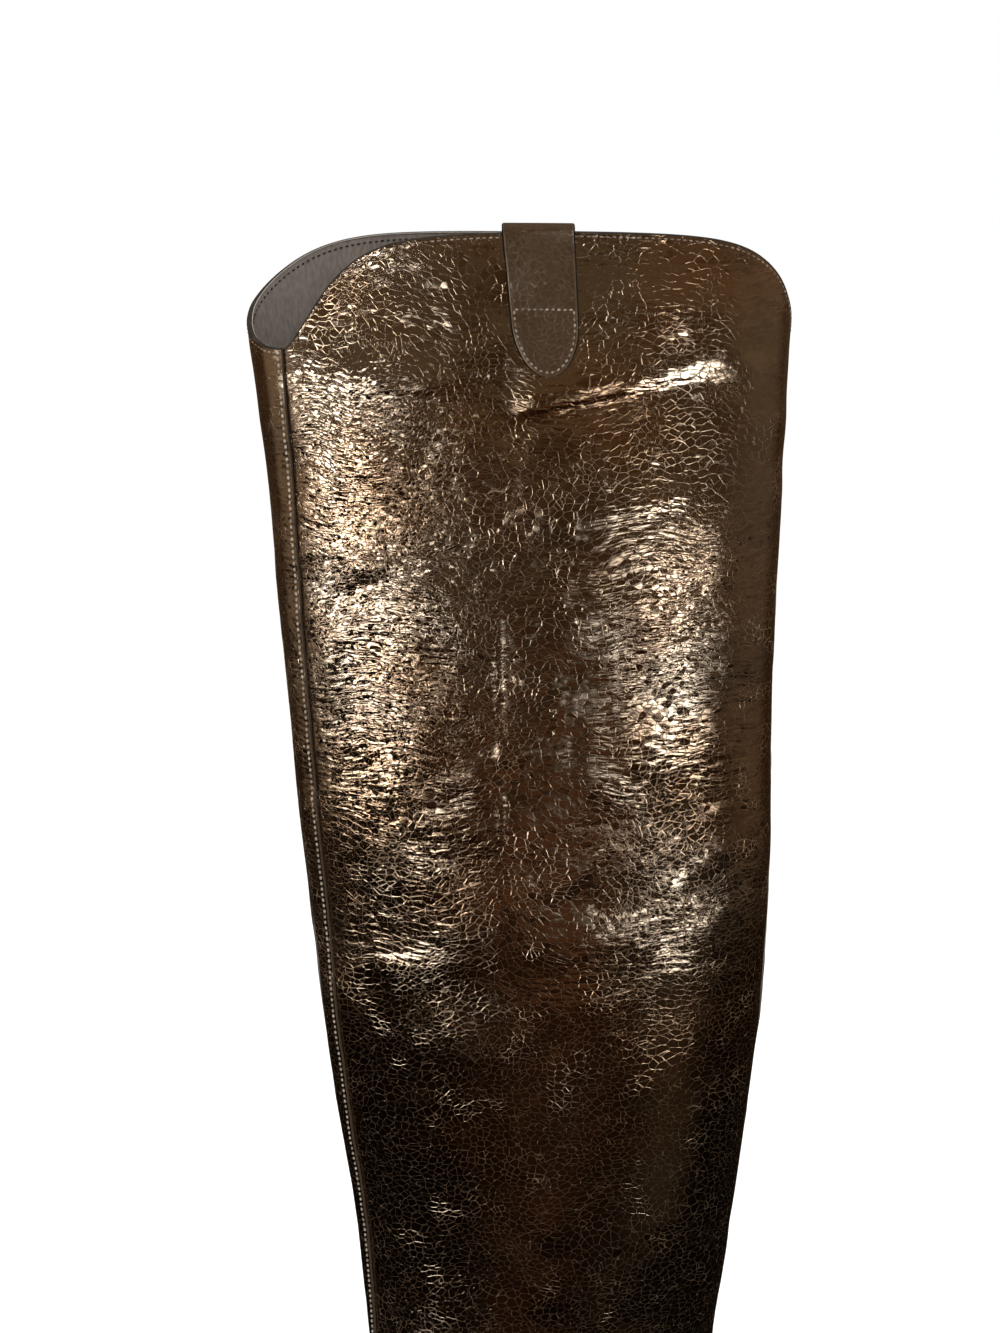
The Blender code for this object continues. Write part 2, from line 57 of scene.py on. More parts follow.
# sizes in millimetres, as in the solids: x forward from the heel back, y to the outer side, z up
boot = {
    "footLength": 258.5, "heelHeight": 54.0, "seatSlope": 0.085, "seatEnd": 62.0,
    "treadStart": 152.0, "treadEnd": 206.0, "toeSpring": 8.0, "toeStart": 200.0, "toeReach": 50.0,
    "rimHeight": 640.0, "rimBase": 560.0, "shaftTurn": 13.0, "backSeamOff": 17.0,
    "soleThickness": 4.0, "soleMargin": 1.6, "gap": 0.3, "facetAllowance": 0.2, "seatRow": 11,
    "leastHalfWidth": 0.02, "mostEdgeShare": 0.98, "arcPoints": 300,
}
sides = ("outer", "inner")
dips = {"outer": (38.0, 22.0, 1.5), "inner": (38.0, 50.0, 2.2)}  # depth, reach and power of the rim's dip
shoulder = {"depth": 4.0, "reach": 60.0}

# half widths of the upper's bottom edge: x, outer, inner
outlineTable = np.array([
    (0.0, 0.0, 0.0), (10.0, 21.5, 20.5), (30.0, 28.5, 27.5), (62.0, 28.5, 25.5), (95.0, 29.5, 21.0),
    (130.0, 35.5, 27.0), (160.0, 40.0, 35.5), (180.0, 40.0, 38.5), (202.0, 35.5, 38.0), (224.0, 26.0, 33.0),
    (243.0, 14.0, 23.5), (254.0, 4.5, 13.0), (258.5, -3.5, 3.5),
])

# sections of the upper, rim to toe tip
sectionColumns = ("frontX", "frontZ", "backX", "backZ", "outer", "inner",
                  "widest", "backPower", "frontPower", "turn")
sectionTable = np.array([
    (201.8, 640.0, -7.6, 640.0, 33.0, 33.0, 0.50, 2.3, 2.3, 1.00),
    (192.4, 560.0, -4.8, 560.0, 35.0, 35.0, 0.50, 2.3, 2.3, 1.00),
    (186.3, 470.0, -3.0, 470.0, 36.5, 36.5, 0.50, 2.3, 2.3, 1.00),
    (179.9, 390.0, -4.6, 390.0, 37.0, 37.0, 0.49, 2.3, 2.3, 1.00),
    (172.4, 320.0, -1.3, 320.0, 36.5, 36.5, 0.48, 2.3, 2.3, 0.95),
    (162.9, 250.0, 6.1, 250.0, 35.0, 35.0, 0.47, 2.3, 2.2, 0.85),
    (156.8, 195.0, 12.0, 195.0, 33.5, 33.5, 0.46, 2.3, 2.2, 0.55),
    (153.4, 164.0, 12.5, 162.0, 33.0, 32.5, 0.45, 2.4, 2.1, 0.25),
    (154.0, 143.0, 7.5, 130.0, 33.0, 32.0, 0.42, 2.6, 2.1, 0.08),
    (158.0, 124.0, 1.0, 100.0, 33.0, 31.5, 0.38, 2.8, 2.1, 0.0),
    (163.5, 109.5, -1.5, 77.0, 33.5, 31.5, 0.34, 2.9, 2.1, 0.0),
    (168.5, 99.5, 0.0, 0.0, 34.0, 31.5, 0.30, 2.9, 2.1, 0.0),
    (173.5, 91.5, 34.0, 0.0, 35.0, 31.0, 0.27, 2.7, 2.1, 0.0),
    (180.0, 83.0, 82.0, 0.0, 36.5, 30.5, 0.25, 2.5, 2.1, 0.0),
    (188.5, 73.5, 124.0, 0.0, 38.5, 32.0, 0.24, 2.4, 2.1, 0.0),
    (201.0, 61.5, 166.0, 0.0, 41.5, 38.5, 0.22, 2.4, 2.1, 0.0),
    (217.0, 49.0, 200.0, 0.0, 37.0, 39.5, 0.24, 2.4, 2.1, 0.0),
    (234.5, 37.5, 228.0, 0.0, 24.5, 32.5, 0.30, 2.4, 2.1, 0.0),
    (248.5, 28.5, 246.0, 0.0, 12.5, 22.0, 0.36, 2.4, 2.0, 0.0),
    (256.3, 20.0, 255.8, 0.0, 2.6, 11.6, 0.42, 2.4, 2.0, 0.0),
    (258.5, 13.0, 258.5, 0.0, -3.4, 3.6, 0.45, 2.4, 2.0, 0.0),
])
lastRow = len(sectionTable) - 1
boxMiddle = boot["footLength"] + boot["soleMargin"] - cadBox[1].x / mm  # the solids' origin, in the tables' x


def smooth(rows, values, at):  # cubic through a table's values, slopes from the rows on either side
    rows, values, at = np.asarray(rows, float), np.asarray(values, float), np.asarray(at, float)
    slopes = np.gradient(values, rows)
    k = np.clip(np.searchsorted(rows, at, side="right") - 1, 0, len(rows) - 2)
    span = rows[k + 1] - rows[k]
    t = (at - rows[k]) / span
    start = (1 + 2 * t) * (1 - t) ** 2 * values[k] + t * (1 - t) ** 2 * span * slopes[k]
    return start + t**2 * (3 - 2 * t) * values[k + 1] + t**2 * (t - 1) * span * slopes[k + 1]


def ease(t):  # smooth step, 0 to 1
    t = np.clip(t, 0.0, 1.0)
    return t * t * (3 - 2 * t)


def slopeOf(heightOf, x):  # rise over the millimetre about x
    x = np.asarray(x, float)
    return heightOf(x + 0.5) - heightOf(x - 0.5)


def soleBottom(x):  # flat seat, cubic arch, flat tread, then a parabola for the toe spring
    x = np.asarray(x, float)
    span = boot["treadStart"] - boot["seatEnd"]
    t = np.clip((x - boot["seatEnd"]) / span, 0.0, 1.0)
    seatEnd = boot["heelHeight"] - boot["seatSlope"] * boot["seatEnd"]
    arch = (1 + 2 * t) * (1 - t) ** 2 * seatEnd - t * (1 - t) ** 2 * span * boot["seatSlope"]
    toe = np.clip((x - boot["treadEnd"]) / (boot["footLength"] - boot["treadEnd"]), 0.0, None) ** 2
    seat = boot["heelHeight"] - boot["seatSlope"] * x
    return np.where(x < boot["seatEnd"], seat, arch) + boot["toeSpring"] * toe


def bottomEdge(x):  # the sole's thickness over its underside, measured straight up
    thick = boot["soleThickness"] + boot["gap"]
    return soleBottom(x) + thick * np.sqrt(1 + slopeOf(soleBottom, x) ** 2) + boot["facetAllowance"]


def around(x):  # angle that runs evenly round both ends of the outline
    return np.arccos(np.clip(1 - 2 * np.asarray(x, float) / boot["footLength"], -1.0, 1.0))


def edgeHalfWidth(x, side):  # the outline table, smoothed over that angle
    return smooth(around(outlineTable[:, 0]), outlineTable[:, 1 + sides.index(side)], around(x))


def column(name):
    return sectionTable[:, sectionColumns.index(name)]


def sectionValue(name, station):
    return float(smooth(range(lastRow + 1), column(name), station))


def backHeight(station):  # the table's height down to the seat, then the bottom edge's
    seatRow = boot["seatRow"]
    if station >= seatRow:
        return float(bottomEdge(sectionValue("backX", station)))
    heights = np.append(column("backZ")[:seatRow], bottomEdge(0.0))
    return float(smooth(range(seatRow + 1), heights, station))


def halfSection(length, widest, halfWidth, edgeWidth, backPower, frontPower):
    # two quarters of a superellipse that meet at the widest point; the back one stops at the bottom edge
    share = min(max(edgeWidth / halfWidth, 0.0), boot["mostEdgeShare"])
    reach = widest / (1 - share**backPower) ** (1 / backPower)
    back = np.linspace(math.asin(min((widest / reach) ** (backPower / 2), 1.0)), 0.0, boot["arcPoints"])
    front = np.linspace(0.0, math.pi / 2, boot["arcPoints"])[1:]
    along = np.concatenate((widest - reach * np.sin(back) ** (2 / backPower),
                            widest + (length - widest) * np.sin(front) ** (2 / frontPower)))
    out = np.concatenate((np.cos(back) ** (2 / backPower),
                          np.maximum(np.cos(front), 0.0) ** (2 / frontPower)))
    return along, halfWidth * out


def turned(outer, inner, length, share):  # the ring turned in its plane, and cut at the seams again
    angle = math.radians(boot["shaftTurn"]) * share
    ring = np.concatenate((outer, inner[-2:0:-1])) - np.array([length / 2, 0.0])
    spin = np.array([[math.cos(angle), -math.sin(angle)], [math.sin(angle), math.cos(angle)]])
    ring = ring @ spin + np.array([length / 2, 0.0])
    behind = np.where(ring[:, 0] < length / 4, np.abs(ring[:, 1] - boot["backSeamOff"] * share), np.inf)
    ring = np.roll(ring, -int(np.argmin(behind)), axis=0)
    ring = np.concatenate((ring, ring[:1]))
    seam = int(np.argmin(np.where(ring[:, 0] > length * 3 / 4, np.abs(ring[:, 1]), np.inf)))
    return ring[: seam + 1], ring[: seam - 1 : -1]


def panels(station):  # outer and inner half of one section, each from the back to the front seam
    backX = sectionValue("backX", station)
    back = np.array([backX, 0.0, backHeight(station)])
    front = np.array([sectionValue("frontX", station), 0.0, sectionValue("frontZ", station)])
    if station >= lastRow:
        tip = back + np.array([0.0, float(edgeHalfWidth(backX, "outer")), 0.0])
        return [np.repeat(tip[None], 2, axis=0)] * 2
    length = float(np.linalg.norm(front - back))
    middle, edges = 0.0, {"outer": 0.0, "inner": 0.0}
    if station > boot["seatRow"]:
        edges = {side: float(edgeHalfWidth(backX, side)) for side in sides}
        inToe = float(ease((backX - boot["toeStart"]) / boot["toeReach"]))
        middle = min(0.0, (edges["outer"] - edges["inner"]) / 2) * inToe
    widest = sectionValue("widest", station) * length
    powers = sectionValue("backPower", station), sectionValue("frontPower", station)
    halves = []
    for side, sign in (("outer", 1.0), ("inner", -1.0)):
        halfWidth = max(sectionValue(side, station) - sign * middle, boot["leastHalfWidth"])
        along, out = halfSection(length, widest, halfWidth, max(edges[side] - sign * middle, 0.0), *powers)
        halves.append(np.stack((along, middle + sign * out), axis=1))
    if station < boot["seatRow"]:
        halves = turned(*halves, length, sectionValue("turn", station))
    direction = (front - back) / length
    return [back + half[:, :1] * direction + half[:, 1:] * np.array([0.0, 1.0, 0.0]) for half in halves]


def runOf(points):  # distance along a line of points
    return np.concatenate(([0.0], np.cumsum(np.linalg.norm(np.diff(points, axis=0), axis=1))))


def spaced(points, distances, values=None):  # points, or values given at them, at distances along their line
    run = runOf(points)
    values = points if values is None else values
    return np.stack([np.interp(distances, run, values[:, axis]) for axis in range(3)], axis=1)


def rimDrop(distance, side):  # a dip at the seam with a broad shoulder: two bell curves
    depth, reach, power = dips[side]
    dip = depth * np.exp(-((distance / reach) ** power))
    return dip + shoulder["depth"] * np.exp(-((distance / shoulder["reach"]) ** 2))


def unit(vectors):
    return vectors / np.maximum(np.linalg.norm(vectors, axis=-1, keepdims=True), 1e-9)


def quarterRound(edge, reach):  # height share of a rounded edge: a quarter circle over its reach
    return np.sqrt(np.clip(1 - (1 - np.clip(edge / reach, 0.0, 1.0)) ** 2, 0.0, 1.0))


# camera on the outer side, a little towards the toe, level with the rim
shot = {"turn": 13.0, "distance": 760.0, "axisAhead": 6.0, "focalPixels": 2000.0, "horizonRow": 232.0,
        "frameHeight": 1333, "clipStart": 0.01}
shotTurn = math.radians(shot["turn"])
viewAhead = np.array([math.cos(shotTurn), -math.sin(shotTurn), 0.0])  # to the left of the picture
viewNear = np.array([math.sin(shotTurn), math.cos(shotTurn), 0.0])  # towards the camera
shaftMiddle = np.array([(column("frontX")[0] + column("backX")[0]) / 2, 0.0, boot["rimHeight"]])


def makeCamera():
    place = shaftMiddle + viewAhead * shot["axisAhead"] + viewNear * shot["distance"]
    pitch = math.atan((shot["frameHeight"] / 2 - shot["horizonRow"]) / shot["focalPixels"])
    forward = -viewNear * math.cos(pitch) + np.array([0.0, 0.0, -math.sin(pitch)])
    lens = bpy.data.cameras.new("bootCamera")
    lens.sensor_fit = "AUTO"
    lens.lens = lens.sensor_width * shot["focalPixels"] / shot["frameHeight"]
    lens.clip_start = shot["clipStart"]
    camera = bpy.data.objects.new("bootCamera", lens)
    bpy.context.scene.collection.objects.link(camera)
    camera.location = (place - np.array([boxMiddle, 0.0, 0.0])) * mm
    camera.rotation_euler = Vector(forward).to_track_quat("-Z", "Y").to_euler()
    bpy.context.scene.camera = camera


makeCamera()
print("camera placed")

# forms of the leather, placed on the outer side
# creases: start and end, each as distance ahead of the shaft's middle and height, then bow, width and rise
# of a bell-shaped ridge, or of a trough where the rise is negative
creases = np.array([
    (-30, 542, -74, 548, 1.5, 3.0, 0.16),
    (-32, 535, -70, 541, 1.5, 3.0, -0.1),
    (-58, 540, -83, 530, 1.0, 2.4, 0.25),
    (-60, 561, -82, 559, 0.5, 2.0, 0.15),
    (-62, 554, -82, 551, 0.5, 2.0, 0.15),
    (70, 512, 40, 521, -2.0, 2.2, 0.5),  # crossed puckers ahead
    (68, 505, 42, 513, -2.0, 2.2, -0.5),
    (70, 526, 46, 519, 2.0, 2.2, 0.45),
    (33, 432, -9, 456, 1.0, 2.4, 0.22),
    (36, 424, -4, 448, 1.0, 2.6, -0.12),
    (50, 415, 13, 429, 1.0, 2.4, 0.2),
    (-56, 394, -90, 414, 1.0, 2.4, 0.13),
    (-58, 387, -90, 405, 1.0, 2.6, -0.12),
    (-52, 369, -95, 389, 1.0, 2.6, 0.16),
    (-12, 389, -36, 416, 1.0, 2.2, 0.2),
    (72, 361, 8, 367.5, 1.0, 4.0, 0.3),
    (72, 352, 8, 358, 1.0, 5.0, -0.15),
    (7, 528, 5, 386, 0.0, 0.9, 0.3),  # upright crease down the middle
    (60, 300, 5, 318, 2.0, 4.0, 0.16),
    (-20, 290, -66, 312, 2.0, 4.0, 0.16),
    (50, 240, -10, 250, 3.0, 5.0, 0.1),
    (40, 222, -40, 232, 3.0, 5.0, -0.12),
    (52, 200, -30, 205, 3.0, 5.5, 0.35),
    (45, 180, -45, 186, 3.0, 5.0, -0.4),
])
# folds whose upper side hangs over: start and end, bow, half width, rise at start and end, fade above
overhangs = np.array([
    (-95, 594.0, 8, 573.5, 1.5, 5.2, 0.35, 0.9, 18),  # under the strap, flatter towards the back
    (-46, 584.0, 2, 573.8, 0.4, 1.7, 0.3, 0.55, 9),  # its tucked core
    (14, 586.0, 64, 583.0, -1.5, 3.0, 0.3, 0.6, 14),  # ahead of the strap
    (-78, 612.0, -18, 609.0, 0.8, 3.2, 0.03, 0.3, 12),  # behind the strap
])
# broad swells and hollows: ahead, height, reach ahead, reach up, rise
swells = np.array([
    (60, 545, 18, 34, 1.2), (-60, 490, 16, 44, 1.2), (4, 505, 26, 70, -1.1), (52, 440, 20, 40, 0.8),
    (-25, 405, 24, 40, -0.7), (20, 330, 34, 34, -0.8), (-60, 340, 20, 40, 0.6), (-48, 612, 30, 12, 0.5),
    (-52, 540, 22, 24, 0.8), (64, 576, 24, 24, 0.7), (-66, 426, 18, 22, 0.6),
])
# how far the foil is worked into fine facets: a share all over, and spots, placed as the swells are
workedShare = 0.2
workedSpots = np.array([
    (62, 545, 26, 60, 0.6), (60, 470, 26, 50, 0.5), (40, 612, 30, 22, -0.16), (78, 618, 30, 24, -0.25),
    (-48, 585, 36, 9, 0.05), (-58, 500, 20, 40, 0.35), (-62, 556, 30, 24, -0.2), (-50, 608, 44, 24, -0.2),
    (0, 500, 30, 80, 0.15), (8, 562, 28, 16, 0.16), (45, 425, 30, 30, 0.25), (55, 372, 32, 16, 0.3),
    (-48, 372, 26, 18, 0.3),
])
ripples = {"broad": (42.0, 0.60), "middle": (15.0, 0.30), "small": (6.5, 0.09)}  # size and height
lineEnds = {"crease": 0.3, "overhang": 0.2}  # share of a line over which each end fades
facing = {"creases": (0.05, 0.5), "worked": (-0.3, 0.6)}  # start and reach, as a normal turns to the camera
otherSide = {"share": 0.8, "stretch": 1.05, "lower": 22.0}  # the loose mirror image
held = {"sole": (1.0, 9.0), "rim": (3.0, 12.0), "rimShare": 0.35}  # where sole and rim hold the leather flat
latticeSize = 32
lattice = np.random.default_rng(11).random((latticeSize,) * 3)


def softNoise(points, size):  # value noise: eight corners of a random lattice, blended smoothly, -1 to 1
    q = points / size
    cell = np.floor(q).astype(int)
    t = ease(q - cell)
    total = np.zeros(points.shape[:-1])
    for corner in product((0, 1), repeat=3):
        weight = np.prod(np.where(np.array(corner) == 1, t, 1 - t), axis=-1)
        x, y, z = np.moveaxis((cell + np.array(corner)) % latticeSize, -1, 0)
        total += weight * lattice[x, y, z]
    return total * 2 - 1


def bells(spots, ahead, height):  # sum of bell-shaped spots
    total = np.zeros(ahead.shape)
    for x0, z0, reachX, reachZ, rise in spots:
        total += rise * np.exp(-(((ahead - x0) / reachX) ** 2) - ((height - z0) / reachZ) ** 2)
    return total


def besideLine(ahead, height, x0, z0, x1, z1, bow):  # share of the way along a bowed line, distance beside it
    length = math.hypot(x1 - x0, z1 - z0)
    alongX, alongZ = (x1 - x0) / length, (z1 - z0) / length
    t = ((ahead - x0) * alongX + (height - z0) * alongZ) / length
    return t, (height - z0) * alongX - (ahead - x0) * alongZ - bow * 4 * t * (1 - t)


def creaseField(ahead, height):
    # a bell across each crease; a smooth step across each overhang that fades above it; then the swells
    total = np.zeros(ahead.shape)
    end = lineEnds["crease"]
    for *line, width, rise in creases:
        t, off = besideLine(ahead, height, *line)
        total += rise * np.exp(-((off / width) ** 2)) * ease(t / end) * ease((1 - t) / end)
    end = lineEnds["overhang"]
    for *line, width, rise0, rise1, fade in overhangs:
        t, off = besideLine(ahead, height, *line)
        shape = ease(0.5 + off / (2 * width)) * np.exp(-(np.maximum(off - width, 0.0) / fade) ** 2)
        rise = rise0 + (rise1 - rise0) * np.clip(t, 0.0, 1.0)
        total += rise * shape * ease(t / end) * ease((1 - t) / end)
    return total + bells(swells, ahead, height)


def towards(share, kind):  # 0 to 1 as a normal turns to the side that a form lies on
    start, reach = facing[kind]
    return ease((share - start) / reach)


def workedField(points, normals):  # the spots on the camera's side, their mirror image on the other
    ahead, height = (points - shaftMiddle) @ viewAhead, points[..., 2]
    seen = towards(normals @ viewNear, "worked")
    near, far = bells(workedSpots, ahead, height), bells(workedSpots, -ahead, height + otherSide["lower"])
    return np.clip(workedShare + near * seen + far * (1 - seen), 0.0, 1.0)


def relief(points, normals):  # creases on the camera's side, their loose mirror image behind, and ripples
    ahead, height = (points - shaftMiddle) @ viewAhead, points[..., 2]
    share = normals @ viewNear
    mirrored = creaseField(-ahead * otherSide["stretch"], height + otherSide["lower"])
    total = creaseField(ahead, height) * towards(share, "creases")
    total = total + otherSide["share"] * mirrored * towards(-share, "creases")
    for size, rise in ripples.values():
        total = total + rise * softNoise(points, size)
    (soleStart, soleReach), (rimStart, rimReach) = held["sole"], held["rim"]
    aboveSole = points[..., 2] - bottomEdge(points[..., 0])
    belowTop = (boot["rimHeight"] + rimStart - height) / rimReach
    return total * ease((aboveSole - soleStart) / soleReach) * ease(belowTop + held["rimShare"])


meshing = {"merge": 1e-6, "degenerate": 1e-7, "sharp": 50.0}


def makeMesh(name, vertices, faces, **marks):
    # vertices in the tables' millimetres, merged where they meet; marks are values at points for the finish
    mesh = bpy.data.meshes.new(name)
    mesh.from_pydata((vertices - np.array([boxMiddle, 0.0, 0.0])) * mm, [], faces.tolist())
    for mark, values in marks.items():
        mesh.attributes.new(mark, "FLOAT", "POINT").data.foreach_set("value", values.astype(np.float32))
    tidy = bmesh.new()
    tidy.from_mesh(mesh)
    bmesh.ops.remove_doubles(tidy, verts=tidy.verts, dist=meshing["merge"])
    bmesh.ops.dissolve_degenerate(tidy, edges=tidy.edges, dist=meshing["degenerate"])
    tidy.to_mesh(mesh)
    tidy.free()
    mesh.shade_smooth()
    mesh.set_sharp_from_angle(angle=math.radians(meshing["sharp"]))
    piece = bpy.data.objects.new(name, mesh)
    bpy.context.scene.collection.objects.link(piece)
    return piece


def gridFaces(rows, columns, first=0):
    k = first + np.arange(rows * columns).reshape(rows, columns)
    return np.stack((k[:-1, :-1], k[:-1, 1:], k[1:, 1:], k[1:, :-1]), axis=-1).reshape(-1, 4)


def strip(a, b):  # faces between two lines of points
    return np.stack((a[1:], a[:-1], b[:-1], b[1:]), axis=-1)


def sheetFaces(rows, columns):  # front and back grid, joined along their four borders
    front = np.arange(rows * columns).reshape(rows, columns)
    back = front + rows * columns
    return np.concatenate((
        gridFaces(rows, columns), gridFaces(rows, columns, rows * columns)[:, ::-1],
        strip(front[0], back[0]), strip(front[-1][::-1], back[-1][::-1]),
        strip(front[::-1, 0], back[::-1, 0]), strip(front[:, -1], back[:, -1])))


def makeShell(name, front, back, **marks):  # two grids that meet along their borders
    rows, columns = front.shape[:2]
    faces = np.concatenate((gridFaces(rows, columns)[:, ::-1], gridFaces(rows, columns, rows * columns)))
    return makeMesh(name, np.concatenate((front.reshape(-1, 3), back.reshape(-1, 3))), faces, **marks)


# the upper's two leather halves and their lining; the inner half laps over the outer one at both seams
upper = {
    "leather": 1.0, "lining": 0.9, "between": 0.06,
    "lapWidth": 8.0, "lapEndX": 246.0, "lapFade": 22.0, "lapEase": 5.0, "lapTuck": 1.2,
    "seamPress": 0.12, "seamPressWidth": 1.6, "noEdge": 9.0,
    "spare": (12.0, 0.05, 24),  # start, end and count of the points past the back seam
    "rimRows": 54, "shaftRows": 150, "ankleRows": 42, "footRows": 78, "toeRows": 12, "shaftEnd": 166.0,
    "outerColumns": 112, "innerColumns": 116, "liningColumns": 44, "lastShaftSection": 7,
}
# columns beside a seam: steps in from it, their most share of the half, and the same for steps under a lap
seamSteps = {"in": np.array([0.0, 0.3, 0.7, 1.3, 2.2, 3.6, 5.6, 8.0, 10.5]), "inShare": 0.26,
             "under": np.array([1.0, 0.55, 0.2]), "underShare": 0.12, "underEnd": 0.6}

# rows down the upper below the rim base, as section numbers: down the shaft, round the ankle, over the foot
shaftHeights = np.linspace(boot["rimBase"], upper["shaftEnd"], upper["shaftRows"])[:-1]
shaftSections = np.arange(1, upper["lastShaftSection"] + 1)
shaftStations = np.interp(-shaftHeights, -column("frontZ")[shaftSections], shaftSections)
toeSteps = 1 - (1 - np.linspace(0.0, 1.0, upper["toeRows"])) ** 2
leatherStations = np.concatenate((
    shaftStations, np.linspace(shaftStations[-1], boot["seatRow"], upper["ankleRows"])[1:-1],
    np.linspace(boot["seatRow"], lastRow - 1, upper["footRows"])[:-1], lastRow - 1 + toeSteps))
liningStations = np.append(leatherStations[::2], lastRow)


def seamColumns(count, lap=0.0):  # even columns, with finer steps beside both seams, carried on under a lap
    def columns(length, station):
        near = seamSteps["in"] * min(1.0, seamSteps["inShare"] * length / seamSteps["in"][-1])
        even = np.linspace(near[-1], length - near[-1], count)[1:-1]
        inside = np.concatenate((near, even, length - near[::-1]))
        if not lap:
            return inside
        beyond = seamSteps["under"] * (lap * min(1.0, seamSteps["underShare"] * length / lap))
        behind = -beyond * float(ease((boot["seatRow"] - station) / seamSteps["underEnd"]))
        return np.concatenate((behind, inside, length + beyond[::-1]))
    return columns


def ringOf(side, station, columnsOf):
    # one half's section, read at its columns' distances from the back seam, past which the other half goes on
    halves = panels(station)
    line, other = halves if side == "outer" else halves[::-1]
    length = runOf(line)[-1]
    distances = columnsOf(length, station)
    longer = np.concatenate((line, other[::-1][1:]))
    start = 0.0
    if station < boot["seatRow"]:
        spare = spaced(other, np.linspace(*upper["spare"]))
        longer = np.concatenate((spare, longer))
        start = runOf(longer[: len(spare) + 1])[-1]
    return spaced(longer, distances + start), distances, length


def halfRows(side, rimRows, stations, columnsOf):
    # grid of one half: straight lines from the dipped rim to its base, then rings; distances to both seams
    top, run, length = ringOf(side, 0.0, columnsOf)
    base = ringOf(side, 1.0, columnsOf)[0]
    inside = np.clip(np.minimum(run, length - run), 0.0, None)
    drop = rimDrop(inside, side) + np.where((run < 0) | (run > length), upper["lapTuck"], 0.0)
    rise = 1 - drop / (boot["rimHeight"] - boot["rimBase"])
    shares = np.linspace(1.0, 0.0, rimRows + 1)[:-1]
    lower = [ringOf(side, station, columnsOf) for station in stations]
    points = [base + (top - base) * (rise * share)[:, None] for share in shares] + [row[0] for row in lower]
    fromBack = np.array([run] * rimRows + [row[1] for row in lower])
    lengths = np.array([length] * rimRows + [row[2] for row in lower])[:, None]
    return np.array(points), fromBack, lengths - fromBack


def normalsOf(points, side):
    across, down = np.gradient(points, axis=1), np.gradient(points, axis=0)
    normals = unit(np.cross(across, down))
    normals[-1] = normals[-2]
    return normals if side == "outer" else -normals


def seamDistance(fromBack, toFront, closed):  # to the nearer seam; below the seat only the front one is left
    return np.where(closed[:, None], np.minimum(fromBack, toFront), toFront)


def lapRaise(points, distance):  # the inner half rides one thickness up where it covers the outer
    fade = ease((upper["lapEndX"] - points[..., 0]) / upper["lapFade"])
    under = 1 - ease((distance - upper["lapWidth"]) / upper["lapEase"])
    return (upper["leather"] + upper["between"]) * under * fade


def aboveBottom(points):
    points[..., 2] = np.maximum(points[..., 2], bottomEdge(points[..., 0]))
    return points


def makeHalf(name, side, rimRows, stations, columnsOf, frontOff, backOff, lapped):
    # the half's grid moved along its normals to a front and a back face, lifted by the relief and the lap
    points, fromBack, toFront = halfRows(side, rimRows, stations, columnsOf)
    normals = normalsOf(points, side)
    lift = relief(points, normals)
    closed = np.concatenate((np.ones(rimRows, bool), np.asarray(stations) < boot["seatRow"]))
    faces = sheetFaces(*points.shape[:2])
    edgeDistance = np.full(points.shape[:2], upper["noEdge"])
    if side == "inner":
        faces = faces[:, ::-1]
        edgeDistance = seamDistance(fromBack, toFront, closed)
    if lapped and side == "inner":
        lift = lift + lapRaise(points, edgeDistance)
    if lapped and side == "outer":
        seam = seamDistance(np.abs(fromBack), np.abs(toFront), closed)
        lift = lift - upper["seamPress"] * np.exp(-((seam / upper["seamPressWidth"]) ** 2))
    front = aboveBottom(points + normals * (lift + frontOff)[..., None])
    back = aboveBottom(points + normals * (lift + backOff)[..., None])
    marks = {"edgeDistance": np.tile(edgeDistance.ravel(), 2),
             "worked": np.tile(workedField(points, normals).ravel(), 2)}
    piece = makeMesh(name, np.concatenate((front.reshape(-1, 3), back.reshape(-1, 3))), faces, **marks)
    print(name, "rows and columns", points.shape[:2])
    return {"piece": piece, "front": front, "back": back, "normals": normals,
            "fromBack": fromBack, "toFront": toFront, "closed": closed}


leatherColumns = {"outer": seamColumns(upper["outerColumns"], upper["lapWidth"]),
                  "inner": seamColumns(upper["innerColumns"])}
leather = {
    side: makeHalf(side + "Half", side, upper["rimRows"], leatherStations, leatherColumns[side],
                   0.0, -upper["leather"], True)
    for side in sides
}
liningFront = -upper["leather"] - upper["between"]
liningColumns = seamColumns(upper["liningColumns"])
lining = {
    side: makeHalf(side + "Lining", side, upper["rimRows"] // 2, liningStations, liningColumns,
                   liningFront, liningFront - upper["lining"], False)
    for side in sides
}
wall = upper["leather"] + upper["between"] + upper["lining"]

outsoleSize = {"margin": boot["soleMargin"], "thickness": boot["soleThickness"], "roundness": 1.4}
insoleSize = {"margin": -3.8, "thickness": 2.0, "roundness": 0.8}


def outlineEdge(x):  # the plan outline's outer and inner line
    return np.stack((x, edgeHalfWidth(x, "outer")), axis=1), np.stack((x, -edgeHalfWidth(x, "inner")), axis=1)


def evenRound(count):  # x along the foot, closer together at both ends
    return boot["footLength"] / 2 * (1 - np.cos(np.linspace(0.0, math.pi, count)))


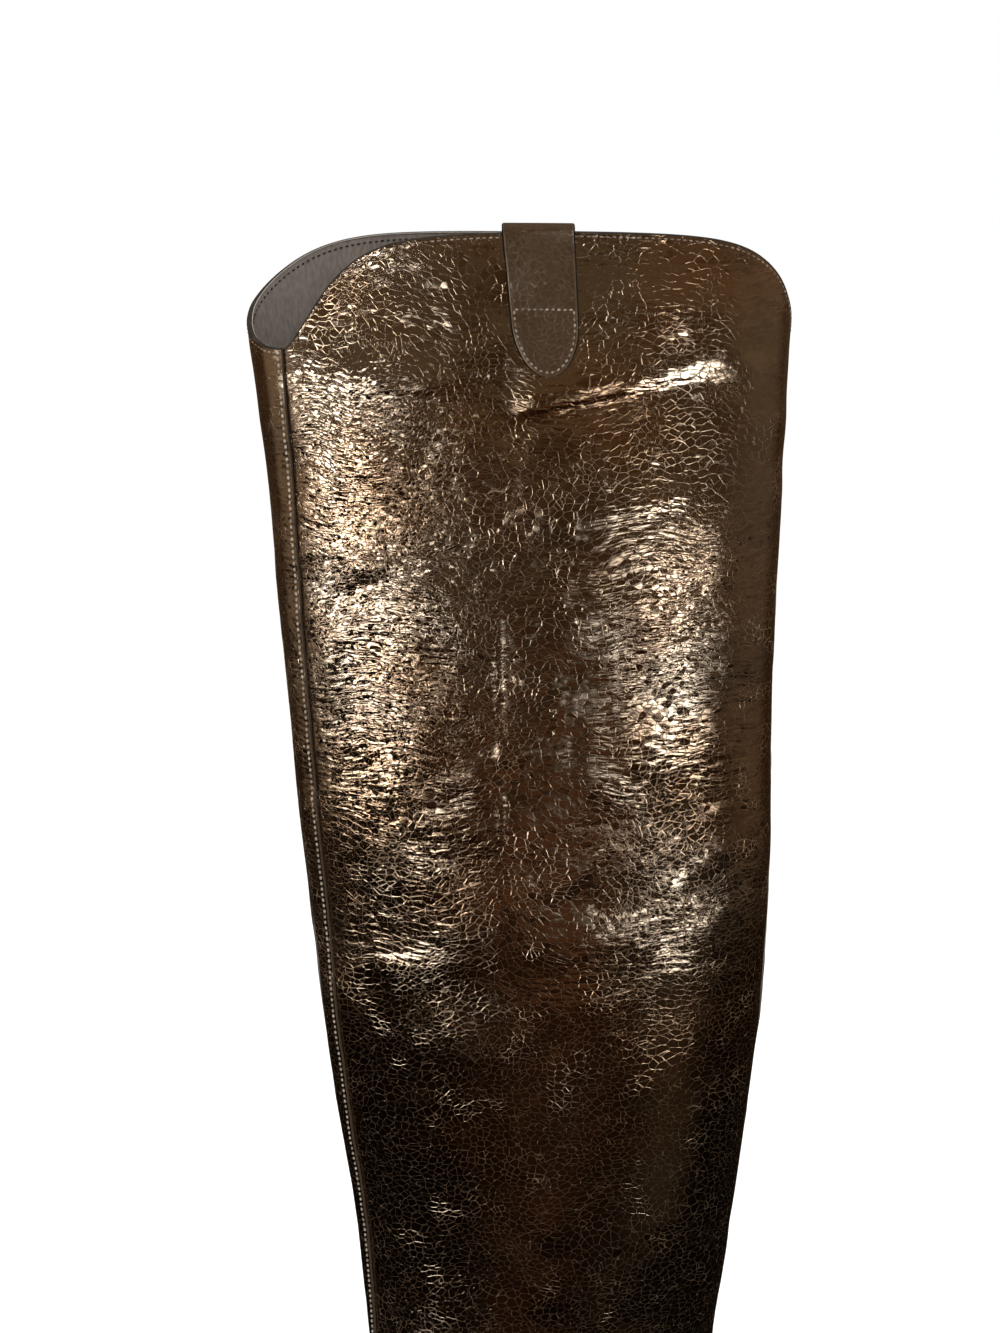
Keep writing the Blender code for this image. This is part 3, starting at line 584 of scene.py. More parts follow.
def makeSlab(name, bottomOf, margin, thickness, roundness, rows=150, columns=26):
    # plan outline moved out by a margin; at each point top and bottom close in on the middle near the edge
    x = evenRound(rows)
    outer, inner = outlineEdge(x)
    loop = np.concatenate((outer, inner[-2:0:-1]))
    along = np.roll(loop, -1, axis=0) - np.roll(loop, 1, axis=0)
    loop = loop + unit(np.stack((-along[:, 1], along[:, 0]), axis=1)) * margin
    outer, inner = loop[:rows], np.concatenate((loop[:1], loop[: rows - 2 : -1]))[:rows]
    across = 0.5 - 0.5 * np.cos(np.linspace(0.0, math.pi, columns))
    plan = outer[:, None] + (inner - outer)[:, None] * across[None, :, None]
    width = np.linalg.norm(inner - outer, axis=1)[:, None]
    edge = np.minimum(across, 1 - across)[None] * width
    edge = np.minimum(edge, np.minimum(x - x[0], x[-1] - x)[:, None])
    stretch = np.sqrt(1 + slopeOf(bottomOf, plan[..., 0]) ** 2)
    middle = bottomOf(plan[..., 0]) + thickness / 2 * stretch
    half = thickness / 2 * quarterRound(edge, roundness) * stretch
    return makeShell(name, np.dstack((plan, middle + half)), np.dstack((plan, middle - half)))


outsole = makeSlab("outsoleSheet", soleBottom, **outsoleSize)
insole = makeSlab("insoleSheet", bottomEdge, **insoleSize)

heel = {"breastX": 58.0, "breastHollow": 2.5, "footBack": 11.0, "footFront": 51.0, "narrows": 0.80,
        "curve": 0.75, "halfDepth": 22.0, "outlinePoints": 400, "backPoints": 90, "breastPoints": 30,
        "edgeShares": (0.012, 0.03), "edgeInsets": (0.6, 0.15), "rings": 26}
topPieceSize = {"height": 6.0, "depths": (0.0, 0.35, 1.0, 5.0, 5.65, 6.0),
                "insets": (0.5, 0.12, 0.0, 0.0, 0.12, 0.5)}


def heelPlan(share, inset=0.0):  # round back and slightly hollow breast, drawn in towards the floor
    x = evenRound(heel["outlinePoints"])
    outer, inner = outlineEdge(x[x < heel["breastX"]])
    line = np.concatenate((inner[::-1], outer[1:]))
    line = np.column_stack((line, np.zeros(len(line))))
    back = spaced(line, np.linspace(0.0, runOf(line)[-1], heel["backPoints"]))[:, :2]
    t = np.linspace(0.0, 1.0, heel["breastPoints"])[1:-1, None]
    hollow = np.array([heel["breastHollow"], 0.0]) * np.sin(math.pi * t)
    top = np.concatenate((back, back[-1] + (back[0] - back[-1]) * t - hollow))
    stretch = (heel["footFront"] - heel["footBack"]) / (back[:, 0].max() - back[:, 0].min())
    footX = heel["footBack"] + (top[:, 0] - back[:, 0].min()) * stretch
    foot = np.stack((footX, top[:, 1] * heel["narrows"]), axis=1)
    plan = top + (foot - top) * share ** heel["curve"]
    middle = plan.mean(axis=0)
    return middle + (plan - middle) * (1 - inset / heel["halfDepth"])


def blockRing(share, inset):  # the plan a share of the way down, from the seat to the top piece
    under = boot["heelHeight"] - boot["seatSlope"] * heelPlan(0.0, inset)[:, 0] - boot["gap"]
    floor = topPieceSize["height"] + boot["gap"]
    return np.column_stack((heelPlan(share, inset), under + (floor - under) * share))


def pieceRing(depth, inset):  # the plan at the floor, a depth under the top piece's upper face
    plan = heelPlan(1.0, inset)
    return np.column_stack((plan, np.full(len(plan), topPieceSize["height"] - depth)))


def makeCapped(name, rings):  # rings one under the other, closed at both ends on the middle of the ring
    ends = [np.tile(ring.mean(axis=0), (len(ring), 1)) for ring in (rings[0], rings[-1])]
    points = np.array([ends[0], *rings, ends[1]])
    points = np.concatenate((points, points[:, :1]), axis=1)
    return makeMesh(name, points.reshape(-1, 3), gridFaces(*points.shape[:2])[:, ::-1])


def makeHeel():
    near, far = heel["edgeShares"]
    shares = [0.0, near, *np.linspace(far, 1 - far, heel["rings"]), 1 - near, 1.0]
    insets = [*heel["edgeInsets"], *np.zeros(heel["rings"]), *heel["edgeInsets"][::-1]]
    block = makeCapped("heelCover", [blockRing(share, inset) for share, inset in zip(shares, insets)])
    depths = zip(topPieceSize["depths"], topPieceSize["insets"])
    return block, makeCapped("topPieceRubber", [pieceRing(depth, inset) for depth, inset in depths])


heelBlock, topPiece = makeHeel()
print("sole, insole and heel made")

# pull strap: outer leg with a round end, fold over the rim, inner leg
strap = {"halfWidth": 13.0, "taper": 0.05, "straight": 31.0, "round": 20.0, "innerLeg": 38.0,
         "thickness": 1.5, "lean": 0.06, "clear": 0.5, "clearSoon": 4.0, "edge": 0.7,
         "tipRows": 26, "outerRows": 32, "foldRows": 15, "innerRows": 24, "columns": 25}
rimRings = [panels(station)[0] for station in (0.0, 1.0)]
rimRuns = [runOf(ring) for ring in rimRings]
strapCentre = float(np.interp(shaftMiddle[0], rimRings[0][:, 0], rimRuns[0])) / rimRuns[0][-1]


def rimPoint(ring, run, sideways):  # point of a section, at a distance ahead of the strap's line
    at = strapCentre * run[-1] + sideways
    return np.stack([np.interp(at, run, ring[:, axis]) for axis in range(3)], axis=-1)


def onOuterSide(sideways, fall):  # point and normal of the outer side, beside the strap's line, below the rim
    top, base = (rimPoint(ring, run, sideways) for ring, run in zip(rimRings, rimRuns))
    tangent = rimPoint(rimRings[0], rimRuns[0], sideways + 1.0) - top
    normals = unit(np.stack((-tangent[..., 1], tangent[..., 0], np.zeros(tangent.shape[:-1])), axis=-1))
    points = top + (base - top) * (fall / (boot["rimHeight"] - boot["rimBase"]))[..., None]
    points[..., 2] -= rimDrop(strapCentre * rimRuns[0][-1] + sideways, "outer")
    return points, normals


def strapHalfWidth(fall):  # a slight taper, then half an ellipse
    straight = strap["halfWidth"] * (1 - strap["taper"] * np.clip(fall / strap["straight"], 0.0, 1.0))
    return straight * np.sqrt(1 - np.clip((fall - strap["straight"]) / strap["round"], 0.0, 1.0) ** 2)


def makeStrap():
    # rows along the strap: fall below the rim, angle round the fold, half width; columns across it
    tip = np.linspace(0.0, math.pi / 2, strap["tipRows"])
    outerFall = np.concatenate((strap["straight"] + strap["round"] * np.cos(tip),
                                np.linspace(strap["straight"], 0.0, strap["outerRows"])[1:]))
    fold = np.linspace(0.0, math.pi, strap["foldRows"])[1:]
    innerFall = np.linspace(0.0, strap["innerLeg"], strap["innerRows"])[1:]
    fall = np.concatenate((outerFall, np.zeros(len(fold)), innerFall))
    angle = np.concatenate((np.zeros(len(outerFall)), fold, np.full(len(innerFall), math.pi)))
    outside = angle == 0.0
    half = np.where(outside, strapHalfWidth(fall), strap["halfWidth"])
    across = np.sin(np.linspace(-math.pi / 2, math.pi / 2, strap["columns"]))
    sideways = across[None] * half[:, None] - strap["lean"] * fall[:, None]
    points, normals = onOuterSide(sideways, np.repeat(fall[:, None], len(across), axis=1))
    radius = wall / 2 + boot["gap"]
    out = (-wall / 2 + radius * np.cos(angle))[:, None, None]
    clear = strap["clear"] * np.clip(np.sin(angle) * strap["clearSoon"], 0.0, 1.0)
    lift = (radius * np.sin(angle) + clear)[:, None, None]
    up = np.array([0.0, 0.0, 1.0])
    upperLift = relief(points, normals)[..., None] * np.where(outside, 1.0, 0.0)[:, None, None]
    inside = points + normals * (out + upperLift) + up * lift
    away = normals * np.cos(angle)[:, None, None] + up * np.sin(angle)[:, None, None]
    edge = half[:, None] - np.abs(across[None] * half[:, None])
    edge = np.minimum(edge, np.where(outside, np.inf, strap["innerLeg"] - fall)[:, None])
    rounding = quarterRound(edge, strap["edge"])[..., None]
    middle = inside + away * strap["thickness"] / 2
    swell = away * rounding * strap["thickness"] / 2
    return makeShell("strapLeather", middle + swell, middle - swell, edgeDistance=np.tile(edge.ravel(), 2))


strapPiece = makeStrap()
print("strap made")

# sewing and edges: stitches are small ellipsoids, half sunk; edges are ovals carried along the rim
sewing = {"pitch": 2.3, "half": 0.34, "width": 0.36, "height": 0.30, "rings": 5, "corners": 7,
          "tangentStep": 0.2, "rim": 1.3, "rimSize": 0.75, "rimInside": 2.2, "mostRows": 3.0,
          "seam": 1.7, "seamSize": 1.5,
          "strapPitch": 2.1, "strapSize": 1.15, "strapEdge": 1.7, "strapCross": 27.0,
          "strapSteps": 12, "strapTurn": 60, "strapAcross": 30}
rimEdge = {"overhang": 0.12, "height": 0.55, "piping": 0.24, "corners": 11}


def stitchRow(points, normals, pitch, size=1.0):  # centres, directions, normals and sizes of even stitches
    length = runOf(points)[-1]
    count = int(length / pitch)
    places = (np.arange(count) + 0.5) * length / count
    step = sewing["tangentStep"]
    ahead = spaced(points, np.minimum(places + step, length)) - spaced(points, places - step)
    upright = unit(spaced(points, places, normals))
    return spaced(points, places), unit(ahead), upright, np.full(count, pitch), np.full(count, size)


def makeStitches(name, rows):  # one ellipsoid for each stitch: rings of a few points, ends closed to a point
    centres, ahead, normals, pitch, size = (np.concatenate(part) for part in zip(*rows))
    side = unit(np.cross(normals, ahead))
    ring = np.linspace(-1.0, 1.0, sewing["rings"])[:, None]
    angle = np.linspace(0.0, 2 * math.pi, sewing["corners"])[None]
    girth = np.sqrt(1 - ring**2)
    pitch, size = pitch[:, None, None], size[:, None, None]
    points = centres[:, None, None, :]
    for vectors, amounts in ((ahead, pitch * sewing["half"] * (ring + 0 * angle)),
                             (side, size * sewing["width"] * girth * np.cos(angle)),
                             (normals, size * sewing["height"] * girth * np.sin(angle))):
        points = points + vectors[:, None, None, :] * amounts[..., None]
    one = gridFaces(sewing["rings"], sewing["corners"])[:, ::-1]
    first = sewing["rings"] * sewing["corners"] * np.arange(len(centres))
    return makeMesh(name, points.reshape(-1, 3), (one[None] + first[:, None, None]).reshape(-1, 4))


def betweenSeams(half):
    return (half["fromBack"][0] >= 0) & (half["toFront"][0] >= 0)


def belowRim(half, face, distance):  # line on one face of a half, a distance under its rim
    grid = half[face]
    fall = grid[1] - grid[0]
    steps = np.minimum(distance / np.linalg.norm(fall, axis=1), sewing["mostRows"])
    line = grid[0] + fall * steps[:, None]
    outward = half["normals"][0] * (1.0 if face == "front" else -1.0)
    inside = betweenSeams(half)
    return line[inside], outward[inside]


def besideSeam(half, distance, atFront):  # line down the front of a half, a distance in from one seam
    gap = half["toFront"] if atFront else half["fromBack"]
    rows = np.arange(len(gap)) if atFront else np.where(half["closed"])[0]
    read = {"front": [], "normals": []}
    for row in rows:
        order = np.argsort(gap[row])
        for grid, lines in read.items():
            values = half[grid][row][order]
            lines.append([np.interp(distance, gap[row][order], values[:, axis]) for axis in range(3)])
    lines, normals = np.array(read["front"]), np.array(read["normals"])
    keep = (lines[:, 0] < upper["lapEndX"]) if atFront else np.ones(len(lines), bool)
    return lines[keep], normals[keep]


def strapLine():  # round end in from the strap's edge, then straight across from corner to corner
    turn = np.linspace(0.0, math.pi, sewing["strapTurn"])
    inset = sewing["strapEdge"]
    start = np.linspace(sewing["strapCross"], strap["straight"], sewing["strapSteps"])[:-1]
    half = strapHalfWidth(start) - inset
    endHalf = strapHalfWidth(strap["straight"]) - inset
    sideways = np.concatenate((half, endHalf * np.cos(turn), -half[::-1]))
    fall = np.concatenate((start, strap["straight"] + (strap["round"] - inset) * np.sin(turn), start[::-1]))
    across = np.linspace(-half[0], half[0], sewing["strapAcross"])
    rows = []
    for sideway, drop in ((sideways, fall), (across, np.full(len(across), sewing["strapCross"]))):
        points, normals = onOuterSide(sideway - strap["lean"] * drop, drop)
        rise = relief(points, normals) + boot["gap"] + strap["thickness"]
        line = points + normals * rise[:, None]
        rows.append(stitchRow(line, normals, sewing["strapPitch"], sewing["strapSize"]))
    return rows


def makeTube(name, paths):  # an oval, with half widths along the normal and upright, carried along each path
    parts, faces, first = [], [], 0
    angle = np.linspace(0.0, 2 * math.pi, rimEdge["corners"])
    for points, normals, half, height in paths:
        ahead = unit(np.gradient(points, axis=0))
        upright = unit(np.cross(ahead, normals))
        upright = upright * np.sign(upright[:, 2:])
        size = np.ones(len(points))
        size[[0, -1]] = 0.0
        rings = points[:, None] + normals[:, None] * (half * size[:, None] * np.cos(angle))[..., None]
        rings = rings + upright[:, None] * (height * size[:, None] * np.sin(angle))[..., None]
        parts.append(rings.reshape(-1, 3))
        grid = gridFaces(len(points), len(angle), first)
        turns = np.einsum("ij,ij->i", np.cross(normals, upright), ahead).mean() > 0
        faces.append(grid if turns else grid[:, ::-1])
        first += len(points) * len(angle)
    return makeMesh(name, np.concatenate(parts), np.concatenate(faces))


def rimPaths(inward, half, height):  # both halves' rim line, moved into the wall, with the oval's half widths
    paths = []
    for panel in leather.values():
        inside = betweenSeams(panel)
        normals = panel["normals"][0][inside]
        paths.append((panel["front"][0][inside] - normals * inward, normals, half, height))
    return paths


rimPaint = makeTube("rimPaint", rimPaths(wall / 2, wall / 2 + rimEdge["overhang"], rimEdge["height"]))
rimPiping = makeTube("rimPiping", rimPaths(wall, rimEdge["piping"], rimEdge["piping"]))
threads = makeStitches("brightThread", [
    stitchRow(*besideSeam(leather["inner"], sewing["seam"], atFront), sewing["pitch"], sewing["seamSize"])
    for atFront in (True, False)])
paleThreads = makeStitches("paleThread", [
    stitchRow(*belowRim(half, "front", sewing["rim"]), sewing["pitch"], sewing["rimSize"])
    for half in leather.values()] + strapLine())
darkThreads = makeStitches("darkThread", [
    stitchRow(*belowRim(half, "back", sewing["rimInside"]), sewing["pitch"]) for half in lining.values()])
print("edges and stitches made")


# shader maths: a socket that takes + - * and powers, and makes any other node
class Wire:
    def __init__(self, tree, socket=None):
        self.tree, self.socket = tree, socket

    def node(self, kind, settings=None, sockets=None, out=0):
        made = self.tree.nodes.new(kind)
        for name, value in (settings or {}).items():
            if name == "stops":
                while len(made.color_ramp.elements) < len(value):
                    made.color_ramp.elements.new(0.5)
                for stop, (place, colour) in zip(made.color_ramp.elements, value):
                    stop.position, stop.color = place, colour
            else:
                setattr(made, name, value)
        for name, value in (sockets or {}).items():
            if isinstance(value, Wire):
                self.tree.links.new(value.socket, made.inputs[name])
            else:
                made.inputs[name].default_value = value
        return Wire(self.tree, made.outputs[out])

    def beside(self, out):  # another output of the same node
        return Wire(self.tree, self.socket.node.outputs[out])

    def maths(self, operation, first, second=0.0):
        return self.node("ShaderNodeMath", {"operation": operation}, {0: first, 1: second})

    def __add__(self, other):
        return self.maths("ADD", self, other)

    def __radd__(self, other):
        return self.maths("ADD", other, self)

    def __sub__(self, other):
        return self.maths("SUBTRACT", self, other)

    def __rsub__(self, other):
        return self.maths("SUBTRACT", other, self)

    def __mul__(self, other):
        return self.maths("MULTIPLY", self, other)

    def __rmul__(self, other):
        return self.maths("MULTIPLY", other, self)

    def __pow__(self, other):
        return self.maths("POWER", self, other)

    def most(self, other):
        return self.maths("MAXIMUM", self, other)

    def step(self, low, high):  # smooth step from low to high
        return self.node("ShaderNodeMapRange", {"interpolation_type": "SMOOTHSTEP"},
                         {"Value": self, "From Min": low, "From Max": high})

    def vector(self, operation, other=None, scale=None, out=0):
        sockets = {0: self}
        if other is not None:
            sockets[1] = other
        if scale is not None:
            sockets["Scale"] = scale
        return self.node("ShaderNodeVectorMath", {"operation": operation}, sockets, out)

    def part(self, axis):  # one component of a vector
        return self.node("ShaderNodeSeparateXYZ", {}, {"Vector": self}, axis)

    def mix(self, low, high):  # this value picks between two colours
        return self.node("ShaderNodeMix", {"data_type": "RGBA"}, {0: self, 6: low, 7: high}, 2)

    def noise(self, scale, detail, out=0):  # soft noise at this place
        return self.node("ShaderNodeTexNoise", {}, {"Vector": self, "Scale": scale, "Detail": detail}, out)

    def bump(self, depth, strength):  # normal from this height
        return self.node("ShaderNodeBump", {}, {"Height": self, "Distance": depth, "Strength": strength})


def newFinish(name, plain, build):  # a Principled material: plain values on its sockets, then what varies
    material = bpy.data.materials.new(name)
    material.use_nodes = True
    tree = material.node_tree
    surface = tree.nodes["Principled BSDF"]
    for socket, value in plain.items():
        surface.inputs[socket].default_value = value
    w = Wire(tree)
    place = w.node("ShaderNodeTexCoord", out=3)
    for socket, value in build(w, place).items():
        tree.links.new(value.socket, surface.inputs[socket])
    return material


# sizes of the crackle: cells and noise in turns to the metre, edges as the two ends of a smooth step
leatherLook = {
    "cells": (320.0, 355.0, 435.0), "fine": 2.4, "bend": (24.0, 0.016), "wander": (110.0, 0.0022),
    "crackWidth": (0.003, 0.028), "fineWidth": (0.01, 0.06), "fineLine": 0.4,
    "lineScale": 160.0, "lineEdge": (0.3, 0.7), "lineVaries": 0.4, "quietAbove": (0.53, 0.6), "quiet": 0.45,
    "glintPatchScale": 60.0, "glintPatchShare": (0.5, 0.7), "glintPatchPuff": 6.0,
    "gentle": 0.6, "steep": 1.2, "fineSteep": 3.0, "steepPower": 5.0, "tiltWorked": (0.9, 0.25),
    "patchScale": 17.0, "patchEdge": (0.1, 0.5), "patchWorked": 0.7,
    "puff": 0.013, "puffWidth": 0.06, "finePuff": 0.008, "finePuffWidth": 0.1,
    "tilt": 0.25, "fineTilt": 0.105, "wave": 0.16, "waveScale": 130.0,
    "calmBelow": (0.29, 0.41), "footBelow": (0.08, 0.17), "calm": 0.42,
    "streaks": [(28.0, 19.0, 0.36), (-24.0, 23.0, 0.36)],  # angle, scale of their patches, height
    "streakSize": (110.0, 110.0, 560.0), "streakEdge": (0.46, 0.62), "streakWorked": (0.9, 0.2),
    "metal": (0.36, 0.272, 0.192, 1.0), "metalWarm": (0.42, 0.272, 0.165, 1.0),
    "stainScale": 20.0, "stainEdge": (0.4, 0.7),
    # in the glinting patches the cracks take a pale colour, a painted glint
    "crackColour": (0.20, 0.125, 0.073, 1.0), "crackPaintedGlint": (0.90, 0.65, 0.43, 1.0), "crackDull": 0.3,
    "roughness": 0.075, "crackRough": 0.25, "waveRough": 0.06, "cutRough": 0.4,
    "cutEdge": (0.1, 0.3), "cutColour": (0.08, 0.06, 0.043, 1.0),
}
# the strap's leather lies flatter, with smaller and fainter cells
strapLook = dict(
    leatherLook, cells=(470.0, 510.0, 590.0), puff=0.008, tilt=0.05, fineTilt=0.04, finePuff=0.004, wave=0.10,
    glintPatchPuff=0.5, quiet=0.0, streaks=[], roughness=0.28,
    metal=(0.35, 0.262, 0.184, 1.0), metalWarm=(0.37, 0.272, 0.188, 1.0),
    crackColour=(0.42, 0.32, 0.235, 1.0), crackPaintedGlint=(0.48, 0.37, 0.275, 1.0),
    # a wide dark band at the cut edge: edge paint, and in part a painted shadow along the strap's border
    cutEdge=(0.45, 0.85), cutColour=(0.016, 0.013, 0.010, 1.0))


def crackledLeather(look):
    # bent Voronoi cells, each tilted its own way and parted from the next by a thin sunk crack; smaller
    # cells of the same kind fill soft patches; waves and long wrinkles lie under them; all calm down towards
    # the ankle
    def build(w, place):
        half = (0.5, 0.5, 0.5)

        def shift(scale, amount):
            return place.noise(scale, 1.0, 1).vector("SUBTRACT", half).vector("SCALE", scale=amount)

        bent = place.vector("ADD", shift(*look["bend"])).vector("ADD", shift(*look["wander"]))

        def cells(share, most):  # distance to the nearest crack, and each cell's slope about its own middle
            at = bent.vector("MULTIPLY", tuple(share * size for size in look["cells"]))
            sockets = {"Vector": at, "Scale": 1.0}
            crack = w.node("ShaderNodeTexVoronoi", {"feature": "DISTANCE_TO_EDGE"}, sockets)
            seed = w.node("ShaderNodeTexVoronoi", {"feature": "F1"}, sockets, 1)
            fromMiddle = at.vector("SUBTRACT", seed.beside(2))
            lean = seed.vector("SUBTRACT", half).vector("DOT_PRODUCT", fromMiddle, out=1)
            return crack, lean * (seed.part(2) ** look["steepPower"] * most + look["gentle"])

        def mark(name):
            return w.node("ShaderNodeAttribute", {"attribute_name": name}, out=2)

        level = place.part(2)
        calm = level.step(*look["calmBelow"]).most(1.0 - level.step(*look["footBelow"]))
        calm = calm * (1.0 - look["calm"]) + look["calm"]
        worked = mark("worked")
        patch = place.noise(look["patchScale"], 2.0) - 0.5 + worked * look["patchWorked"]
        patch = patch.step(*look["patchEdge"])
        wave = place.noise(look["waveScale"], 2.0)
        crack, tilt = cells(1.0, look["steep"])
        fineCrack, fineTilt = cells(look["fine"], look["fineSteep"])

        fineLine = (1.0 - fineCrack.step(*look["fineWidth"])) * patch * look["fineLine"]
        line = (1.0 - crack.step(*look["crackWidth"])).most(fineLine)
        varied = place.noise(look["lineScale"], 1.0).step(*look["lineEdge"])
        line = line * (varied * look["lineVaries"] + 1.0 - look["lineVaries"])
        line = line * (1.0 - level.step(*look["quietAbove"]) * look["quiet"])
        # patches where the cracks glint: their raised edges are steeper there, and their colour is a pale
        # painted glint
        glintPatch = place.noise(look["glintPatchScale"], 1.0).step(*look["glintPatchShare"]) * calm

        height = crack.step(0.0, look["puffWidth"]) * calm * (glintPatch * look["glintPatchPuff"] + 1.0) * look["puff"]
        height = height + wave * calm * look["wave"]
        gain, least = look["tiltWorked"]
        height = height + tilt * (worked * gain + least) * calm * look["tilt"]
        finePuff = fineCrack.step(0.0, look["finePuffWidth"]) * look["finePuff"]
        height = height + (finePuff + fineTilt * look["fineTilt"]) * patch * calm
        gain, least = look["streakWorked"]
        for angle, scale, amount in look["streaks"]:
            turn = (0.0, math.radians(angle), 0.0)
            sockets = {"Vector": bent, "Rotation": turn, "Scale": look["streakSize"]}
            along = w.node("ShaderNodeMapping", {}, sockets)
            spots = place.noise(scale, 0.0).step(*look["streakEdge"]) * calm
            height = height + along.noise(1.0, 1.0) * spots * (worked * gain + least) * amount

        stain = place.noise(look["stainScale"], 2.0).step(*look["stainEdge"])
        cut = 1.0 - mark("edgeDistance").step(*look["cutEdge"])
        foil = stain.mix(look["metal"], look["metalWarm"])
        # painted glint: in those patches the crack lines are pale
        tone = line.mix(foil, glintPatch.mix(look["crackColour"], look["crackPaintedGlint"]))
        rough = look["roughness"] + line * look["crackRough"] + wave * look["waveRough"]
        return {"Base Color": cut.mix(tone, look["cutColour"]), "Roughness": rough + cut * look["cutRough"],
                "Metallic": (1.0 - line * look["crackDull"]) * (1.0 - cut), "Normal": height.bump(mm, 1.0)}
    return build


threadLook = {"twist": 700.0, "wander": 2.0, "paleStitchScale": 330.0, "paleStitchEdge": (0.35, 0.65), "paleStitchShare": 0.6,
              "twistShare": 0.4, "depth": 0.0001, "strength": 0.6, "roughness": 0.3, "twistRough": 0.15}


def threadFinish(light, dark):  # twisted thread: fine bands, and some stitches paler than others; on the bright seam thread the pale stitches are partly a painted glint
    def build(w, place):
        bands = {"Vector": place, "Scale": threadLook["twist"], "Distortion": threadLook["wander"]}
        twist = w.node("ShaderNodeTexWave", {"wave_profile": "SIN"}, bands, 1)
        paleStitch = place.noise(threadLook["paleStitchScale"], 1.0).step(*threadLook["paleStitchEdge"])
        pale = twist * threadLook["twistShare"] + paleStitch * threadLook["paleStitchShare"]
        return {"Base Color": pale.mix(dark, light),
                "Normal": twist.bump(threadLook["depth"], threadLook["strength"]),
                "Roughness": threadLook["roughness"] + twist * threadLook["twistRough"]}
    return build


edgeLook = {"scale": 260.0, "depth": 0.0003, "strength": 0.5, "roughness": 0.4, "roughVaries": 0.2,
            "dark": (0.022, 0.018, 0.015, 1.0), "light": (0.045, 0.036, 0.03, 1.0)}
toneEdge = (0.3, 0.7)  # smooth step that spreads a noise over two tones


def edgePaint(w, place):  # hand-painted edge: dark, slightly uneven
    cloud = place.noise(edgeLook["scale"], 3.0)
    return {"Base Color": cloud.step(*toneEdge).mix(edgeLook["dark"], edgeLook["light"]),
            "Normal": cloud.bump(edgeLook["depth"], edgeLook["strength"]),
            "Roughness": edgeLook["roughness"] + cloud * edgeLook["roughVaries"]}


liningLook = {"napScale": 900.0, "napStretch": (1.0, 1.0, 0.35), "napShare": 0.6, "cloudScale": 30.0,
              "cloudShare": 0.4, "depth": 0.0002, "strength": 0.6, "roughness": 0.78, "roughVaries": 0.12,
              "dark": (0.23, 0.2, 0.18, 1.0), "light": (0.36, 0.32, 0.292, 1.0)}


def liningFinish(w, place):  # matt nap: fine noise in tone and bump
    nap = place.vector("MULTIPLY", liningLook["napStretch"]).noise(liningLook["napScale"], 3.0)
    cloud = place.noise(liningLook["cloudScale"], 3.0)
    tone = nap * liningLook["napShare"] + cloud * liningLook["cloudShare"]
    return {"Base Color": tone.step(*toneEdge).mix(liningLook["dark"], liningLook["light"]),
            "Normal": nap.bump(liningLook["depth"], liningLook["strength"]),
            "Roughness": liningLook["roughness"] + cloud * liningLook["roughVaries"]}


soleLook = {"light": (0.045, 0.036, 0.03, 1.0), "dark": (0.028, 0.022, 0.019, 1.0), "scale": 1400.0,
            "depth": 0.0002, "rough": 0.5}
heelLook = {"light": (0.05, 0.038, 0.03, 1.0), "dark": (0.03, 0.023, 0.018, 1.0), "scale": 1700.0,
            "depth": 0.00015, "rough": 0.35}
rubberLook = {"light": (0.022, 0.02, 0.019, 1.0), "dark": (0.014, 0.013, 0.013, 1.0), "scale": 1000.0,
              "depth": 0.0002, "rough": 0.65}


def darkGrain(light, dark, scale, depth, rough, cloudScale=40.0, strength=0.7, roughVaries=0.15):
    # fine pebbled grain in a dark rubber or cover
    def build(w, place):
        pebble = w.node("ShaderNodeTexVoronoi", {"feature": "SMOOTH_F1"}, {"Vector": place, "Scale": scale})
        cloud = place.noise(cloudScale, 4.0)
        return {"Base Color": cloud.step(*toneEdge).mix(dark, light),
                "Normal": (1.0 - pebble).bump(depth, strength), "Roughness": rough + cloud * roughVaries}
    return build


metalOnly = {"Specular IOR Level": 0.0}
# the seam thread's near-white colour is partly the thread's own tone and partly a painted glint
brightThread = threadFinish((0.95, 0.87, 0.74, 1.0), (0.34, 0.28, 0.21, 1.0))
tanThread = threadFinish((0.62, 0.54, 0.44, 1.0), (0.14, 0.11, 0.085, 1.0))
liningThread = threadFinish((0.05, 0.044, 0.04, 1.0), (0.03, 0.026, 0.023, 1.0))
paleEdge = threadFinish((0.5, 0.47, 0.43, 1.0), (0.42, 0.39, 0.35, 1.0))
finishes = {
    "leather": newFinish("crackledLeather", metalOnly, crackledLeather(leatherLook)),
    "strap": newFinish("strapLeather", metalOnly, crackledLeather(strapLook)),
    "lining": newFinish("taupeLining", {}, liningFinish),
    "thread": newFinish("bronzeThread", {"Metallic": 0.35}, brightThread),
    "paleThread": newFinish("tanThread", {"Metallic": 0.3}, tanThread),
    "darkThread": newFinish("darkThread", {}, liningThread),
    "edge": newFinish("edgePaint", {}, edgePaint),
    "piping": newFinish("paleEdge", {}, paleEdge),
    "sole": newFinish("soleRubber", {}, darkGrain(**soleLook)),
    "heel": newFinish("heelCover", {}, darkGrain(**heelLook)),
    "rubber": newFinish("topPieceRubber", {}, darkGrain(**rubberLook)),
}


def dress(piece, finish, slotName, *nodes):  # finish, body, slot (not used) and the solids that the piece stands for
    piece.data.materials.clear()
    piece.data.materials.append(finishes[finish])
    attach(piece, "root")
    if nodes:
        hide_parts(*nodes)


